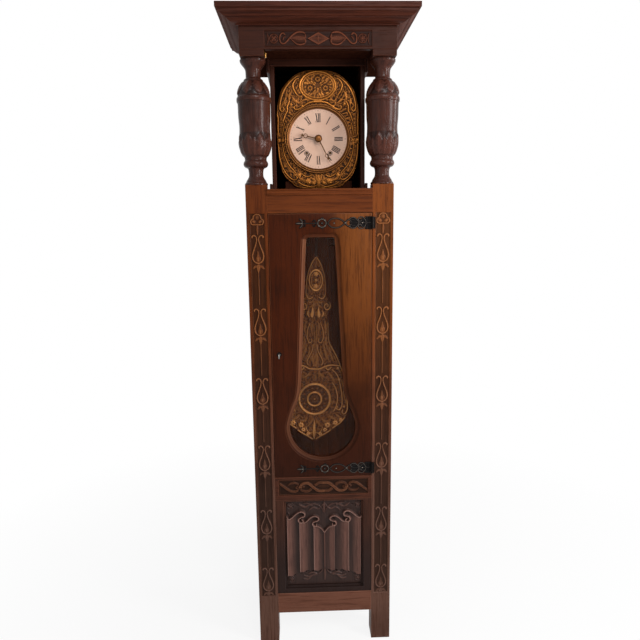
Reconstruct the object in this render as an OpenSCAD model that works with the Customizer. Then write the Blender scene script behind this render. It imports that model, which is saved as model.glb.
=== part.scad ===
// Longcase clock in dark oak with turned hood columns, a glazed trunk door,
// a pressed brass dial surround, a two-weight striking movement and a broad
// embossed pendulum. The origin is on the floor under the middle of the clock,
// +Z points up and the viewer stands on the -Y side.

/* [Case] */
// Width across the outer faces of the two front posts
case_w = 530; // [524:1:536]
// Depth from the front of the posts to the back of the case
case_d = 346; // [340:1:360]
// Height of the floor of the hood above the ground
sill_z = 1812; // [1810:1:1815]
// Width of a front post
post_w = 76; // [74:1:78]
// Depth of a front post
post_d = 74; // [70:1:78]
// Section of a rear post
rear_post = 52; // [48:1:56]
// Clear height under the bottom rails
foot_h = 130; // [120:1:140]
// Height of the bottom rails
bottom_rail_h = 86; // [80:1:90]
// Thickness of the front rails
rail_t = 30; // [26:1:34]
// Thickness of the case boards
board_t = 10; // [8:1:12]
// Width of the sunk carved strip on each front post
strip_w = 56; // [50:1:60]
// Depth of the sunk strip
strip_sink = 4; // [3:0.5:5]

/* [Door] */
// Bottom of the trunk door
door_bottom = 717; // [717:1:720]
// Top of the trunk door
door_top = 1725; // [1722:1:1725]
// Gap between the door and the posts
door_gap = 2; // [1.5:0.5:3]
// Thickness of the door
door_t = 22; // [20:1:24]
// Radius of the round part of the door's window
window_r = 144; // [140:1:146]
// Height of the centre of the window's round part
window_z = 920; // [915:1:925]

/* [Hood] */
// Height of a hood column
column_h = 422; // [420:1:424]
// Height of the square block on each column
block_h = 21; // [18:1:24]
// Height of the frieze above the blocks
frieze_h = 73; // [70:1:76]
// How far the frieze stands in front of the posts
frieze_out = 22; // [20:1:24]
// Height of the crown moulding
crown_h = 53; // [53:1:56]
// Projection of the crown moulding from the frieze
crown_out = 68; // [68:1:70]
// Half of the width of the inner hood box
hood_half = 172; // [170:1:174]

/* [Dial] */
// Height of the centre of the dial
dial_z = 1995; // [1993:1:1997]
// Radius of the enamel disc
enamel_r = 111; // [110:1:112]
// Outer radius of the brass bezel
bezel_r = 123; // [121:1:125]
// Distance of each winding arbor from the middle
arbor_x = 43.5; // [42:0.5:45]
// Height of the winding arbors below the centre of the dial
arbor_drop = 50; // [48:1:52]

/* [Movement] */
// Radius of each rope drum
drum_r = 25; // [24:1:26]
// Radius of a rope
rope_r = 2; // [1.5:0.5:2.5]
// Radius of a driving weight
weight_r = 36; // [34:1:40]
// Length of a driving weight
weight_h = 150; // [140:5:170]
// Module of the motion work gears
gear_module = 1.6; // [1.6]
// Height of the pendulum's pivot
pivot_z = 2066; // [2066]
// Height of the middle of the pendulum's bob
bob_z = 991; // [985:1:997]
// Angle at which the pendulum is caught in its swing, in degrees
swing = -1.45; // [-2:0.05:2]

/* [Hidden] */

// Overall box
total_d = case_d + frieze_out + crown_out;
front_y = frieze_out + crown_out - total_d / 2;
back_y = total_d / 2;
block_z = sill_z + 15 + column_h;
frieze_z = block_z + block_h;
crown_z = frieze_z + frieze_h;

// Case
case_x = case_w / 2;
post_in = case_x - post_w;
post_back = front_y + post_d;
rear_in = case_x - rear_post;
rear_y = back_y - rear_post;
rail_top = foot_h + bottom_rail_h;
top_rail_z = door_top + 2;
mid_rail_top = door_bottom - 1;
mid_rail_z = 622;
carved_x = post_in + post_w / 2;
back_board_y = back_y - 16;
side_board_x = case_x - 14;

// Hood
column_y = front_y + 37;
block_half = 41.5;
frieze_half = case_x + 2.5;
frieze_y = front_y - frieze_out;
hood_box_y = front_y + 102;
hood_board_t = 15;
lintel_z = frieze_z - 24;

// Door
door_half = post_in - door_gap;
door_y = front_y + 2;
hinge_x = post_in + 0.5;
hinge_y = front_y - 4.9;
knuckle_r = 4.5;
pin_r = 2.5;
strap_t = 3;
strap_zs = [750, 1690];
key_x = -159;
key_z = 1208;

// Movement
running = 0.06;
barrel_z = dial_z - arbor_drop;
cage_y0 = front_y + 150;
cage_y1 = front_y + 290;
mid_y = (cage_y0 + cage_y1) / 2;
cage_half = 105;
cage_z0 = sill_z + 33;
cage_z1 = 2090;
strap_bar = 4;
arbor_r = 4;
centre_r = 3;
escape_z = 2040;
escape_r = 1.5;
anchor_r = 2;
drum_y0 = cage_y0 + 50;
drum_l = 64;
rope_x = arbor_x + drum_r + rope_r + 0.4;
rope_y = drum_y0 + drum_l / 2;
weight_top = sill_z - 32;
pendulum_y = cage_y0 - 17;
motion_x = 20 * gear_module;
motion_y = front_y + 114;
surround_y = front_y + 120;
hammer_x = 74;
hammer_z = 2003;
hammer_r = 3;

oak = [0.23, 0.11, 0.06];
oak_dark = [0.16, 0.08, 0.06];
oak_warm = [0.33, 0.16, 0.08];
old_brass = [0.62, 0.43, 0.16];
polished_brass = [0.80, 0.60, 0.28];
iron = [0.08, 0.07, 0.07];
steel = [0.45, 0.44, 0.43];

// Points on a smooth curve through every point of a list
function curve_at(a, b, c, d, t) =
    0.5 * ((2 * b) + (c - a) * t + (2 * a - 5 * b + 4 * c - d) * t * t
    + (3 * b - a - 3 * c + d) * t * t * t);

function smooth(pts, steps) = [
    for (i = [0 : len(pts) - 2])
        for (s = [0 : steps - 1])
            curve_at(
                pts[max(i - 1, 0)], pts[i], pts[i + 1],
                pts[min(i + 2, len(pts) - 1)], s / steps
            ),
    pts[len(pts) - 1]
];

function reversed(pts) = [for (i = [len(pts) - 1 : -1 : 0]) pts[i]];

function mirrored(pts) = concat(pts, [for (p = reversed(pts)) [-p[0], p[1]]]);

function arc(cx, cy, r, a0, a1, steps) = [
    for (i = [0 : steps])
        let (a = a0 + (a1 - a0) * i / steps)
        [cx + r * cos(a), cy + r * sin(a)]
];

// A block given by its lowest and highest corners
module block(low, high) {
    translate(low)
        cube(high - low);
}

// A flat outline in X and Z, given thickness from y0 back to y1
module upright(y0, y1) {
    translate([0, y1, 0])
        rotate([90, 0, 0])
            linear_extrude(y1 - y0)
                children();
}

// A round bar or hole along Y
module bar_y(x, z, r, y0, y1) {
    translate([x, y1, z])
        rotate([90, 0, 0])
            cylinder(r = r, h = y1 - y0, $fn = 64);
}

module ring_y(x, z, r_out, r_in, y0, y1) {
    difference() {
        bar_y(x, z, r_out, y0, y1);
        bar_y(x, z, r_in, y0 - 1, y1 + 1);
    }
}

// Front posts: feet, stiles and column pedestals in one length of oak
module front_post(side) {
    color(oak)
        difference() {
            block([post_in, front_y, 0], [case_x, post_back, sill_z + 15]);
            block(
                [carved_x - strip_w / 2, front_y - 1, 208],
                [carved_x + strip_w / 2, front_y + strip_sink, top_rail_z]
            );
            if (side < 0)
                block(
                    [post_in - 1, door_y + 6, key_z - 12],
                    [post_in + 10, door_y + door_t + 2, key_z + 12]
                );
        }
}

module front_post_left() {
    mirror([1, 0, 0])
        front_post(-1);
}

module front_post_right() {
    front_post(1);
}

module rear_post() {
    color(oak)
        block([rear_in, rear_y, 0], [case_x, back_y, sill_z]);
}

module rear_post_left() {
    mirror([1, 0, 0])
        rear_post();
}

module rear_post_right() {
    rear_post();
}

// Top rail with the nosing that forms the sill of the hood
module top_rail_front() {
    nose_h = 23;
    color(oak_warm) {
        block([-post_in, front_y, top_rail_z], [post_in, front_y + rail_t, sill_z - 15]);
        block([-post_in, front_y - 2, sill_z - nose_h], [post_in, front_y, sill_z]);
        block([-post_in, front_y, sill_z - 15], [post_in, front_y + rail_t, sill_z]);
        for (z = [sill_z - nose_h, sill_z - 8])
            translate([-post_in, front_y - 2, z + 4])
                rotate([0, 90, 0])
                    cylinder(r = 4, h = 2 * post_in, $fn = 32);
    }
}

// Rail between the door and the linenfold panel, sunk for the carved band
module mid_rail_front() {
    color(oak)
        difference() {
            block([-post_in, front_y, mid_rail_z], [post_in, front_y + rail_t, mid_rail_top]);
            block([-175, front_y - 1, 641], [175, front_y + 12, 705]);
        }
}

// Two waving bands that cross over a row of round bosses
module guilloche_panel() {
    wave = 88;
    band = 9;
    function wave_z(x, flip) = 673 + flip * 16 * cos(360 * x / wave);
    color(oak_warm) {
        block([-175, front_y + 6, 641], [175, front_y + 12, 705]);
        for (flip = [-1, 1])
            upright(front_y + 1, front_y + 7)
                polygon(concat(
                    [for (x = [-168 : 8 : 168]) [x, wave_z(x, flip) + band / 2]],
                    [for (x = [168 : -8 : -168]) [x, wave_z(x, flip) - band / 2]]
                ));
        for (k = [-1.5 : 1 : 1.5])
            bar_y(k * wave, 673, 7, front_y + 1, front_y + 7);
    }
}

module linenfold_frame() {
    color(oak)
        difference() {
            block([-post_in, front_y + 2, rail_top], [post_in, front_y + 26, mid_rail_z]);
            block([-157, front_y + 1, 236], [157, front_y + 12, 614]);
            block([-150, front_y + 1, 242], [150, front_y + 27, 608]);
        }
}

// Folded cloth carved in oak: crests at the fold lines, hollows between
module linenfold_panel() {
    crests = [-147, -98, -41, 2, 43, 100, 147];
    panel_y = front_y + 18;
    color(oak) {
        block([-150, panel_y, 242], [150, front_y + 26, 608]);
        intersection() {
            translate([0, 0, 250])
                linear_extrude(340)
                    polygon(concat(
                        [[-147, panel_y + 1]],
                        [for (i = [0 : 5]) for (t = [0 : 0.125 : 0.99])
                            let (
                                x = crests[i] + (crests[i + 1] - crests[i]) * t,
                                lift = 6 + 8 * pow(abs(cos(180 * t)), 1.6)
                            )
                            [x, panel_y - lift]],
                        [[147, panel_y - 14], [147, panel_y + 1]]
                    ));
            upright(front_y, panel_y + 2)
                polygon([
                    [-147, 283], [-147, 556], [-120, 566], [-98, 556], [-98, 528], [-70, 540],
                    [-41, 522], [-41, 498], [-20, 500], [2, 478], [20, 500], [43, 498],
                    [43, 522], [72, 540], [100, 528], [100, 556], [124, 566], [147, 556],
                    [147, 283], [100, 283], [100, 300], [43, 300], [43, 313], [-41, 313],
                    [-41, 300], [-98, 300], [-98, 283]
                ]);
        }
    }
}

module bottom_rail_front() {
    color(oak)
        block([-post_in, front_y, foot_h], [post_in, front_y + rail_t, rail_top]);
}

module side_rails() {
    color(oak)
        for (side = [0, 1])
            mirror([side, 0, 0]) {
                block([case_x - 26, post_back, foot_h], [case_x - 4, rear_y, rail_top]);
                block([case_x - 26, post_back, top_rail_z], [case_x - 4, rear_y, sill_z]);
            }
}

module side_panel() {
    color(oak_dark)
        block(
            [side_board_x - board_t, post_back, rail_top],
            [side_board_x, rear_y, top_rail_z]
        );
}

module side_panel_left() {
    mirror([1, 0, 0])
        side_panel();
}

module side_panel_right() {
    side_panel();
}

// One wide board closes the trunk and runs up behind the hood box
module back_board() {
    color(oak_dark) {
        block([-rear_in, back_board_y, foot_h], [rear_in, back_board_y + board_t, sill_z]);
        block([-hood_half, back_board_y, sill_z], [hood_half, back_board_y + board_t, frieze_z]);
    }
}

// Outline of a board that fills the case between its posts
module floor_outline() {
    polygon([
        [-post_in, front_y + rail_t], [post_in, front_y + rail_t], [post_in, post_back],
        [case_x - 26, post_back], [case_x - 26, rear_y], [rear_in, rear_y],
        [rear_in, back_board_y], [-rear_in, back_board_y], [-rear_in, rear_y],
        [26 - case_x, rear_y], [26 - case_x, post_back], [-post_in, post_back]
    ]);
}

module trunk_floor() {
    color(oak_dark)
        translate([0, 0, rail_top - 22])
            linear_extrude(15)
                floor_outline();
}

// Slots through the hood's floor and the seat for the pendulum and the ropes
module works_slots(z0, z1) {
    block([-34, pendulum_y - 14, z0], [34, pendulum_y + 14, z1]);
    for (side = [-1, 1])
        translate([side * rope_x, 0, 0])
            block([-14, drum_y0, z0], [14, drum_y0 + drum_l, z1]);
}

module hood_floor() {
    color(oak)
        difference() {
            translate([0, 0, sill_z - 15])
                linear_extrude(15)
                    floor_outline();
            works_slots(sill_z - 20, sill_z + 5);
        }
}

// Turned column: profile as [height, radius] from its foot to its cap
module column() {
    profile = [
        [0, 42], [5, 42], [10, 38], [16, 35.5], [23, 31], [32, 27], [48, 27], [58, 30],
        [62, 38], [67, 43], [74, 45], [81, 43], [86, 40], [94, 40], [101, 43], [114, 49.5],
        [128, 54], [142, 56.5], [165, 56.5], [200, 55], [232, 57.5], [278, 58.5], [283, 61],
        [290, 62], [297, 61], [302, 58], [316, 56], [330, 51], [341, 44], [350, 37],
        [358, 34], [362, 28], [375, 27], [389, 28], [397, 31.5], [406, 38.5], [412, 43],
        [417, 45.5], [column_h, 46]
    ];
    line = [for (p = smooth(profile, 3)) [p[1], p[0]]];
    color(oak_dark)
        translate([carved_x, column_y, sill_z + 15])
            rotate_extrude($fn = 72)
                polygon(concat([[0, 0]], line, [[0, column_h]]));
}

module column_left() {
    mirror([1, 0, 0])
        column();
}

module column_right() {
    column();
}

module column_blocks() {
    color(oak_warm)
        for (side = [0, 1])
            mirror([side, 0, 0])
                block(
                    [frieze_half - 2 * block_half, frieze_y, block_z],
                    [frieze_half, frieze_y + 2 * block_half + 12, frieze_z]
                );
}

module frieze_front() {
    color(oak)
        difference() {
            block([-frieze_half, frieze_y, frieze_z], [frieze_half, frieze_y + 22, crown_z]);
            block([-182, frieze_y - 1, frieze_z + 7], [182, frieze_y + 3, frieze_z + 60]);
        }
}

module frieze_sides() {
    color(oak)
        for (side = [0, 1])
            mirror([side, 0, 0])
                block(
                    [frieze_half - 22, frieze_y + 22, frieze_z],
                    [frieze_half, back_y, crown_z]
                );
}

// Section of the crown moulding: projection from the frieze and height
module crown_section() {
    polygon(concat(
        [[0, 0], [8, 0], [8, 4]],
        [for (t = [0 : 0.2 : 1]) [10 + 24 * t, 4 + 9 * pow(t, 2)]],
        [[36, 14], [38, 14], [38, 17]],
        [for (t = [0 : 0.125 : 1]) [40 + 20 * t, 17 + 10 * (1 - cos(180 * t)) / 2]],
        [[62, 27], [62, 34], [65, 35.5], [crown_out, 36], [crown_out, crown_h], [0, crown_h]]
    ));
}

// Wedge of plan that one mitred length of crown fills
module mitre(front) {
    far = case_w + 200;
    corner = [frieze_half, frieze_y];
    translate([0, 0, crown_z - 1])
        linear_extrude(crown_h + 2)
            if (front)
                polygon([
                    [-corner[0] - far, corner[1] - far], [corner[0] + far, corner[1] - far],
                    corner, [-corner[0], corner[1]]
                ]);
            else
                polygon([
                    corner, [corner[0] + far, corner[1] - far],
                    [corner[0] + far, back_y], [corner[0], back_y]
                ]);
}

module crown_front() {
    run = frieze_half + crown_out + 10;
    color(oak)
        intersection() {
            translate([-run, frieze_y, crown_z])
                rotate([90, 0, 90])
                    mirror([1, 0, 0])
                        linear_extrude(2 * run)
                            crown_section();
            mitre(true);
        }
}

module crown_side() {
    color(oak)
        intersection() {
            translate([frieze_half, back_y, crown_z])
                rotate([90, 0, 0])
                    linear_extrude(total_d + 10)
                        crown_section();
            mitre(false);
        }
}

module crown_left() {
    mirror([1, 0, 0])
        crown_side();
}

module crown_right() {
    crown_side();
}

module top_board() {
    color(oak_dark)
        block(
            [-frieze_half, frieze_y, crown_z + 38],
            [frieze_half, back_y, crown_z + crown_h]
        );
}

module soffit_board() {
    color(oak_dark)
        block(
            [22 - frieze_half, frieze_y + 22, frieze_z],
            [frieze_half - 22, back_y, frieze_z + 15]
        );
}

module hood_side() {
    color(oak)
        block(
            [hood_half - hood_board_t, hood_box_y, sill_z],
            [hood_half, back_board_y, frieze_z]
        );
}

module hood_side_left() {
    mirror([1, 0, 0])
        hood_side();
}

module hood_side_right() {
    hood_side();
}

// Mouldings round the hood box: a plinth and a cap each side, and the lintel
module hood_mouldings() {
    proud = 10;
    joint_gap = 0.2;
    color(oak) {
        for (side = [0, 1])
            mirror([side, 0, 0]) {
                block(
                    [hood_half, hood_box_y - proud, sill_z + 1],
                    [hood_half + proud, back_board_y, sill_z + 24]
                );
                block(
                    [hood_half, hood_box_y - proud, frieze_z - 46],
                    [hood_half + proud, back_board_y, frieze_z]
                );
            }
        block(
            [joint_gap - hood_half, hood_box_y - proud, lintel_z],
            [hood_half - joint_gap, hood_box_y, frieze_z]
        );
    }
}

module seat_board() {
    color(oak_dark)
        difference() {
            block([-124, surround_y, sill_z], [124, hood_box_y + 192, cage_z0]);
            works_slots(sill_z - 1, sill_z + 40);
        }
}

// Iron pintles: a leaf on the post, two knuckles and the pin
module hinge_pins() {
    color(iron)
        for (z = strap_zs)
            translate([hinge_x, hinge_y, z]) {
                for (end = [0, 1])
                    mirror([0, 0, end]) {
                        translate([0, 0, 12.5])
                            cylinder(r = knuckle_r, h = 8.5, $fn = 48);
                        block([0, 1, 12.5], [10, front_y - hinge_y, 21]);
                    }
                cylinder(r = pin_r, h = 40, center = true, $fn = 48);
                block([5.5, 2, -20], [10, front_y - hinge_y, 20]);
            }
}

// Small brass stay inside the left block, where a hood door once shut
module hood_catch() {
    catch_x = 2 * block_half - frieze_half;
    color(old_brass) {
        block([catch_x, front_y + 4, block_z + 1], [catch_x + 3, front_y + 14, frieze_z]);
        translate([catch_x + 4, front_y + 4, block_z + 1])
            cylinder(r = 4, h = 14, $fn = 32);
    }
}

// Outline of the pressed brass surround, shrunk by a margin
function surround_half(margin) = smooth([
    [0, 2239 - margin], [40, 2238 - margin], [76 - margin / 4, 2226 - margin],
    [104 - margin * 0.6, 2205 - margin * 0.8], [125 - margin * 0.8, 2182 - margin * 0.6],
    [138 - margin * 0.9, 2158 - margin * 0.3], [150 - margin, 2104], [153 - margin, 2040],
    [152 - margin, 1985], [146 - margin, 1916], [129 - margin * 0.9, 1867 + margin * 0.5],
    [102 - margin * 0.6, 1840 + margin * 0.8], [74 - margin / 4, 1822 + margin],
    [0, 1816 + margin]
], 4);

module surround_layer(margin, y0, y1) {
    upright(y0, y1)
        polygon(mirrored(surround_half(margin)));
}

module oval(z, half_w, half_h) {
    polygon([for (a = [0 : 6 : 354]) [half_w * cos(a), z + half_h * sin(a)]]);
}

module dial_surround() {
    back = surround_y;
    medallion_z = 2183;
    color(old_brass)
        difference() {
            union() {
                surround_layer(0, back - 5, back);
                surround_layer(8, back - 10, back - 4);
                surround_layer(16, back - 14, back - 9);
                upright(back - 17, back - 13)
                    difference() {
                        oval(medallion_z, 64, 46);
                        oval(medallion_z, 58, 40);
                    }
                for (rosette = [[-28, -8], [28, -8], [0, 23]])
                    bar_y(rosette[0], medallion_z + rosette[1], 12, back - 18, back - 13);
            }
            surround_layer(11, back - 7, back + 1);
            surround_layer(19, back - 11, back + 1);
            bar_y(0, dial_z, bezel_r - 12, back - 40, back + 1);
        }
}

module dial_bezel() {
    front = front_y + 92;
    back = front_y + 106;
    color(polished_brass)
        translate([0, back, dial_z])
            rotate([90, 0, 0])
                rotate_extrude($fn = 96)
                    polygon([
                        [bezel_r - 12.3, 0], [bezel_r, 0], [bezel_r, 4], [bezel_r - 3, 7],
                        [bezel_r - 6, 7], [bezel_r - 8, back - front],
                        [bezel_r - 13, back - front], [bezel_r - 17.5, 9],
                        [bezel_r - 17.5, 7], [bezel_r - 12.3, 7]
                    ]);
}

module enamel_dial() {
    back = front_y + 102.5;
    color([0.93, 0.82, 0.74])
        difference() {
            bar_y(0, dial_z, enamel_r - 0.5, back - 3, back);
            bar_y(0, dial_z, 8, back - 10, back + 1);
            for (side = [-1, 1])
                bar_y(side * arbor_x, barrel_z, 8, back - 10, back + 1);
        }
    color(old_brass)
        for (side = [-1, 1])
            ring_y(side * arbor_x, barrel_z, 8, 5.5, back - 4, back);
}

// Iron cage that carries both trains, with the feet of the dial
module movement_cage() {
    bar = 7;
    color(iron)
        difference() {
            union() {
                for (z = [cage_z0, cage_z1 - strap_bar])
                    block([-cage_half, cage_y0, z], [cage_half, cage_y1, z + strap_bar]);
                for (x = [-cage_half, cage_half - 10])
                    for (y = [cage_y0, cage_y1 - 10])
                        block([x, y, cage_z0], [x + 10, y + 10, cage_z1]);
                for (y = [cage_y0, cage_y1 - strap_bar]) {
                    for (x = [-arbor_x, 0, arbor_x, hammer_x])
                        block([x - bar, y, cage_z0], [x + bar, y + strap_bar, cage_z1]);
                }
                block(
                    [-cage_half, cage_y0, dial_z - 9],
                    [cage_half, cage_y0 + strap_bar, dial_z + 9]
                );
                for (x = [-95, 95])
                    for (z = [dial_z - 70, dial_z + 70])
                        bar_y(x, z, 5, surround_y - 11, cage_y0 + strap_bar);
                for (x = [-95, 95])
                    for (z = [dial_z - 70, dial_z + 70])
                        block(
                            [x - 8, cage_y0, z - 8],
                            [x + 8, cage_y0 + strap_bar, z + 8]
                        );
                for (x = [-cage_half, cage_half - 22])
                    for (z = [dial_z - 78, dial_z + 62])
                        block([x, cage_y0, z], [x + 22, cage_y0 + strap_bar, z + 16]);
                bar_y(motion_x, dial_z, 2.5, motion_y - 8, cage_y0 + strap_bar);
                block([-14, pendulum_y - 9, cage_z1 - strap_bar], [14, cage_y0, cage_z1]);
                block(
                    [-14, pendulum_y - 9, pivot_z - 8],
                    [14, pendulum_y - 6, cage_z1 - strap_bar]
                );
                bar_y(0, pivot_z, 2.5, pendulum_y - 7, pendulum_y + 3);
            }
            for (side = [-1, 1])
                bar_y(side * arbor_x, barrel_z, arbor_r + running, cage_y0 - 1, cage_y1 + 1);
            bar_y(0, dial_z, centre_r + running, cage_y0 - 1, cage_y1 + 1);
            bar_y(0, escape_z, escape_r + running, cage_y0 - 1, cage_y1 + 1);
            bar_y(0, pivot_z, anchor_r + running, cage_y0 - 1, cage_y1 + 1);
            bar_y(hammer_x, hammer_z, hammer_r + running, cage_y0 - 1, cage_y1 + 1);
            block([58, mid_y - 8, cage_z1 - strap_bar - 1], [94, mid_y + 8, cage_z1 + 1]);
            works_slots(cage_z0 - 1, cage_z0 + strap_bar + 1);
        }
}

// Bell on its post above the cage
module bell() {
    color([0.55, 0.50, 0.38])
        translate([0, mid_y, cage_z1 + 14])
            rotate_extrude($fn = 72)
                polygon([
                    [0, 42], [12, 41], [26, 34], [34, 20], [38, 6], [46, 0], [48, 0],
                    [41, 8], [37, 22], [29, 37], [14, 44.5], [0, 45.5]
                ]);
    color(iron)
        translate([0, mid_y, cage_z1])
            cylinder(r = 4, h = 58, $fn = 32);
}

// Keyhole outline of the door's window, shrunk by a margin
function window_half(margin) = concat(
    [[0, 1657 - margin], [44, 1657 - margin]],
    arc(44, 1632, 25 - margin, 90, 5, 5),
    smooth([
        [72 - margin, 1596], [81 - margin, 1410], [90.5 - margin, 1223],
        [96 - margin, 1110], [104 - margin, 1046], [119 - margin, 1006],
        [133 - margin, 968], [window_r - 2 - margin, 936]
    ], 3),
    arc(0, window_z, window_r - margin, 0, -90, 24)
);

module window_outline(margin) {
    polygon(mirrored(window_half(margin)));
}

module door_board() {
    bevel_steps = 3;
    color(oak)
        difference() {
            block(
                [-door_half, door_y, door_bottom],
                [door_half, door_y + door_t, door_top]
            );
            for (k = [0 : bevel_steps - 1])
                upright(door_y - 1, door_y + 3 * (k + 1))
                    window_outline(5 * k);
            upright(door_y - 1, door_y + door_t + 1)
                window_outline(18);
            upright(door_y + door_t - 6, door_y + door_t + 1)
                window_outline(12);
            block(
                [-door_half - 1, door_y + 7, key_z - 11],
                [key_x + 12, door_y + door_t + 1, key_z + 11]
            );
            bar_y(key_x, key_z, 4, door_y - 1, door_y + door_t);
        }
}

module window_glass() {
    color([0.75, 0.85, 0.85, 0.3])
        upright(door_y + door_t - 6, door_y + door_t - 3)
            window_outline(12.5);
}

// Forged strap: hinge knuckle, leaf scrolls, crossing, ring, bar and trefoil
module strap_hinge(reach) {
    front = door_y - strap_t;
    color(iron) {
        upright(front, door_y)
            difference() {
                union() {
                    polygon([
                        [182, 9], [176, 12], [166, 24], [150, 22], [140, 10], [128, 5],
                        [128, -5], [140, -10], [150, -22], [166, -24], [176, -12], [182, -9]
                    ]);
                    translate([30, 0])
                        square([104, 9], center = false);
                    translate([30, -9])
                        square([104, 9], center = false);
                    translate([46, 0])
                        circle(r = 15, $fn = 40);
                    translate([reach + 26, -3])
                        square([30 - reach - 18, 6]);
                    for (a = [90, 180, 270])
                        translate([reach + 16 + 10 * cos(a), 10 * sin(a)])
                            circle(r = 9, $fn = 32);
                    translate([reach + 10, -4])
                        square([24, 8]);
                }
                translate([46, 0])
                    circle(r = 6, $fn = 32);
                for (x = [66, 84, 102, 120])
                    translate([x, 0])
                        polygon([[-6, 0], [0, 5], [6, 0], [0, -5]]);
                for (side = [-1, 1])
                    translate([158, side * 13])
                        circle(r = 4, $fn = 24);
            }
        difference() {
            union() {
                translate([hinge_x, hinge_y, -12])
                    cylinder(r = knuckle_r, h = 24, $fn = 48);
                block([182, hinge_y + 2, -9], [hinge_x - 1, front + 2.5, 9]);
            }
            translate([hinge_x, hinge_y, -13])
                cylinder(r = pin_r + running, h = 26, $fn = 48);
        }
    }
}

module strap_hinge_upper() {
    translate([0, 0, strap_zs[1]])
        strap_hinge(-89);
}

module strap_hinge_lower() {
    translate([0, 0, strap_zs[0]])
        strap_hinge(-102);
}

// Lock: case let into the back of the door and a brass plate round the keyhole
module door_lock() {
    color(old_brass)
        ring_y(key_x, key_z, 9, 3.6, door_y - 1.5, door_y);
    color(iron)
        difference() {
            block(
                [-door_half, door_y + 7, key_z - 11],
                [key_x + 12, door_y + door_t, key_z + 11]
            );
            block(
                [-door_half - 1, door_y + 10, key_z - 7.3],
                [key_x - 5, door_y + 18, key_z + 7.3]
            );
            bar_y(key_x, key_z, 2.56, door_y + 6, door_y + door_t - 2);
        }
}

module door_key() {
    color(steel) {
        bar_y(key_x, key_z, 2.5, door_y - 22, door_y + 19);
        translate([key_x, door_y - 30, key_z])
            rotate([0, 90, 0])
                difference() {
                    cylinder(r = 10, h = 4, center = true, $fn = 48);
                    cylinder(r = 6, h = 6, center = true, $fn = 48);
                }
        ring_y(key_x, key_z, 4, 2.4, door_y - 6, door_y - 3);
    }
}

module lock_bolt() {
    color(steel)
        block(
            [-door_half, door_y + 10.4, key_z - 7],
            [key_x - 14, door_y + 17.6, key_z + 7]
        );
}

// Spur gear outline with slim teeth, one tooth centred on the phase angle
module gear_outline(teeth, phase) {
    root = (teeth / 2 - 1.2) * gear_module;
    tip = (teeth / 2 + 0.85) * gear_module;
    pitch = 360 / teeth;
    polygon([
        for (i = [0 : teeth - 1])
            for (p = [[root, -0.25], [tip, -0.09], [tip, 0.09], [root, 0.25]])
                let (a = phase + (i + p[1]) * pitch)
                [p[0] * cos(a), p[0] * sin(a)]
    ]);
}

// Centre arbor with the cannon pinion that drives the motion work
module centre_arbor() {
    color(steel) {
        bar_y(0, dial_z, centre_r, front_y + 82, cage_y1 + 3);
        upright(motion_y, motion_y + 5)
            translate([0, dial_z])
                gear_outline(10, 0);
    }
    color(old_brass)
        ring_y(0, dial_z, 24, centre_r - 0.5, cage_y0 + 30, cage_y0 + 32.5);
}

// Pierced hands: [reach, eye place, eye radius] in the clock hand's own length
module hand_outline(reach, eye_at, eye_r) {
    difference() {
        union() {
            polygon([
                [0, -2], [eye_at, -1.6], [reach - 14, -1.2], [reach, 0],
                [reach - 14, 1.2], [eye_at, 1.6], [0, 2]
            ]);
            translate([eye_at, 0])
                circle(r = eye_r, $fn = 36);
            for (side = [-1, 1])
                polygon([
                    [eye_at + eye_r - 1, side * 1], [eye_at + eye_r + 4, side * 5.5],
                    [eye_at + eye_r + 9, side * 2.5], [eye_at + eye_r + 6, side * 1]
                ]);
        }
        translate([eye_at, 0])
            circle(r = eye_r - 2.2, $fn = 36);
    }
}

module minute_hand() {
    front = front_y + 84;
    hand_angle = 90 - 153;
    color(polished_brass) {
        upright(front, front + 1.6)
            translate([0, dial_z])
                difference() {
                    union() {
                        rotate(hand_angle)
                            hand_outline(98, 68, 7);
                        circle(r = 9, $fn = 48);
                    }
                    circle(r = centre_r, $fn = 48);
                }
        translate([0, front + 1.6, dial_z])
            rotate([90, 0, 0])
                rotate_extrude($fn = 64)
                    polygon([
                        [centre_r, 0], [13.5, 0], [13.5, 2.4], [11, 4.4], [6, 5.6],
                        [centre_r, 6]
                    ]);
    }
}

module hour_hand() {
    front = front_y + 90;
    hand_angle = 90 - 283;
    color(polished_brass)
        upright(front, front + 1.6)
            translate([0, dial_z])
                difference() {
                    union() {
                        rotate(hand_angle)
                            hand_outline(73, 48, 8);
                        circle(r = 10, $fn = 48);
                    }
                    circle(r = centre_r + running, $fn = 48);
                }
    color(old_brass) {
        ring_y(0, dial_z, 5.5, centre_r + running, front + 1.5, motion_y - 3);
        upright(motion_y - 7, motion_y - 3)
            translate([0, dial_z])
                difference() {
                    gear_outline(32, 0);
                    circle(r = centre_r + running, $fn = 48);
                }
    }
}

// Intermediate wheel of the motion work with its pinion
module motion_wheel() {
    color(old_brass)
        difference() {
            translate([motion_x, 0, dial_z])
                union() {
                    upright(motion_y, motion_y + 5)
                        gear_outline(30, 6);
                    upright(motion_y - 7, motion_y)
                        gear_outline(8, 22.5);
                }
            bar_y(motion_x, dial_z, 2.5 + running, motion_y - 12, motion_y + 10);
        }
}

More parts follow.
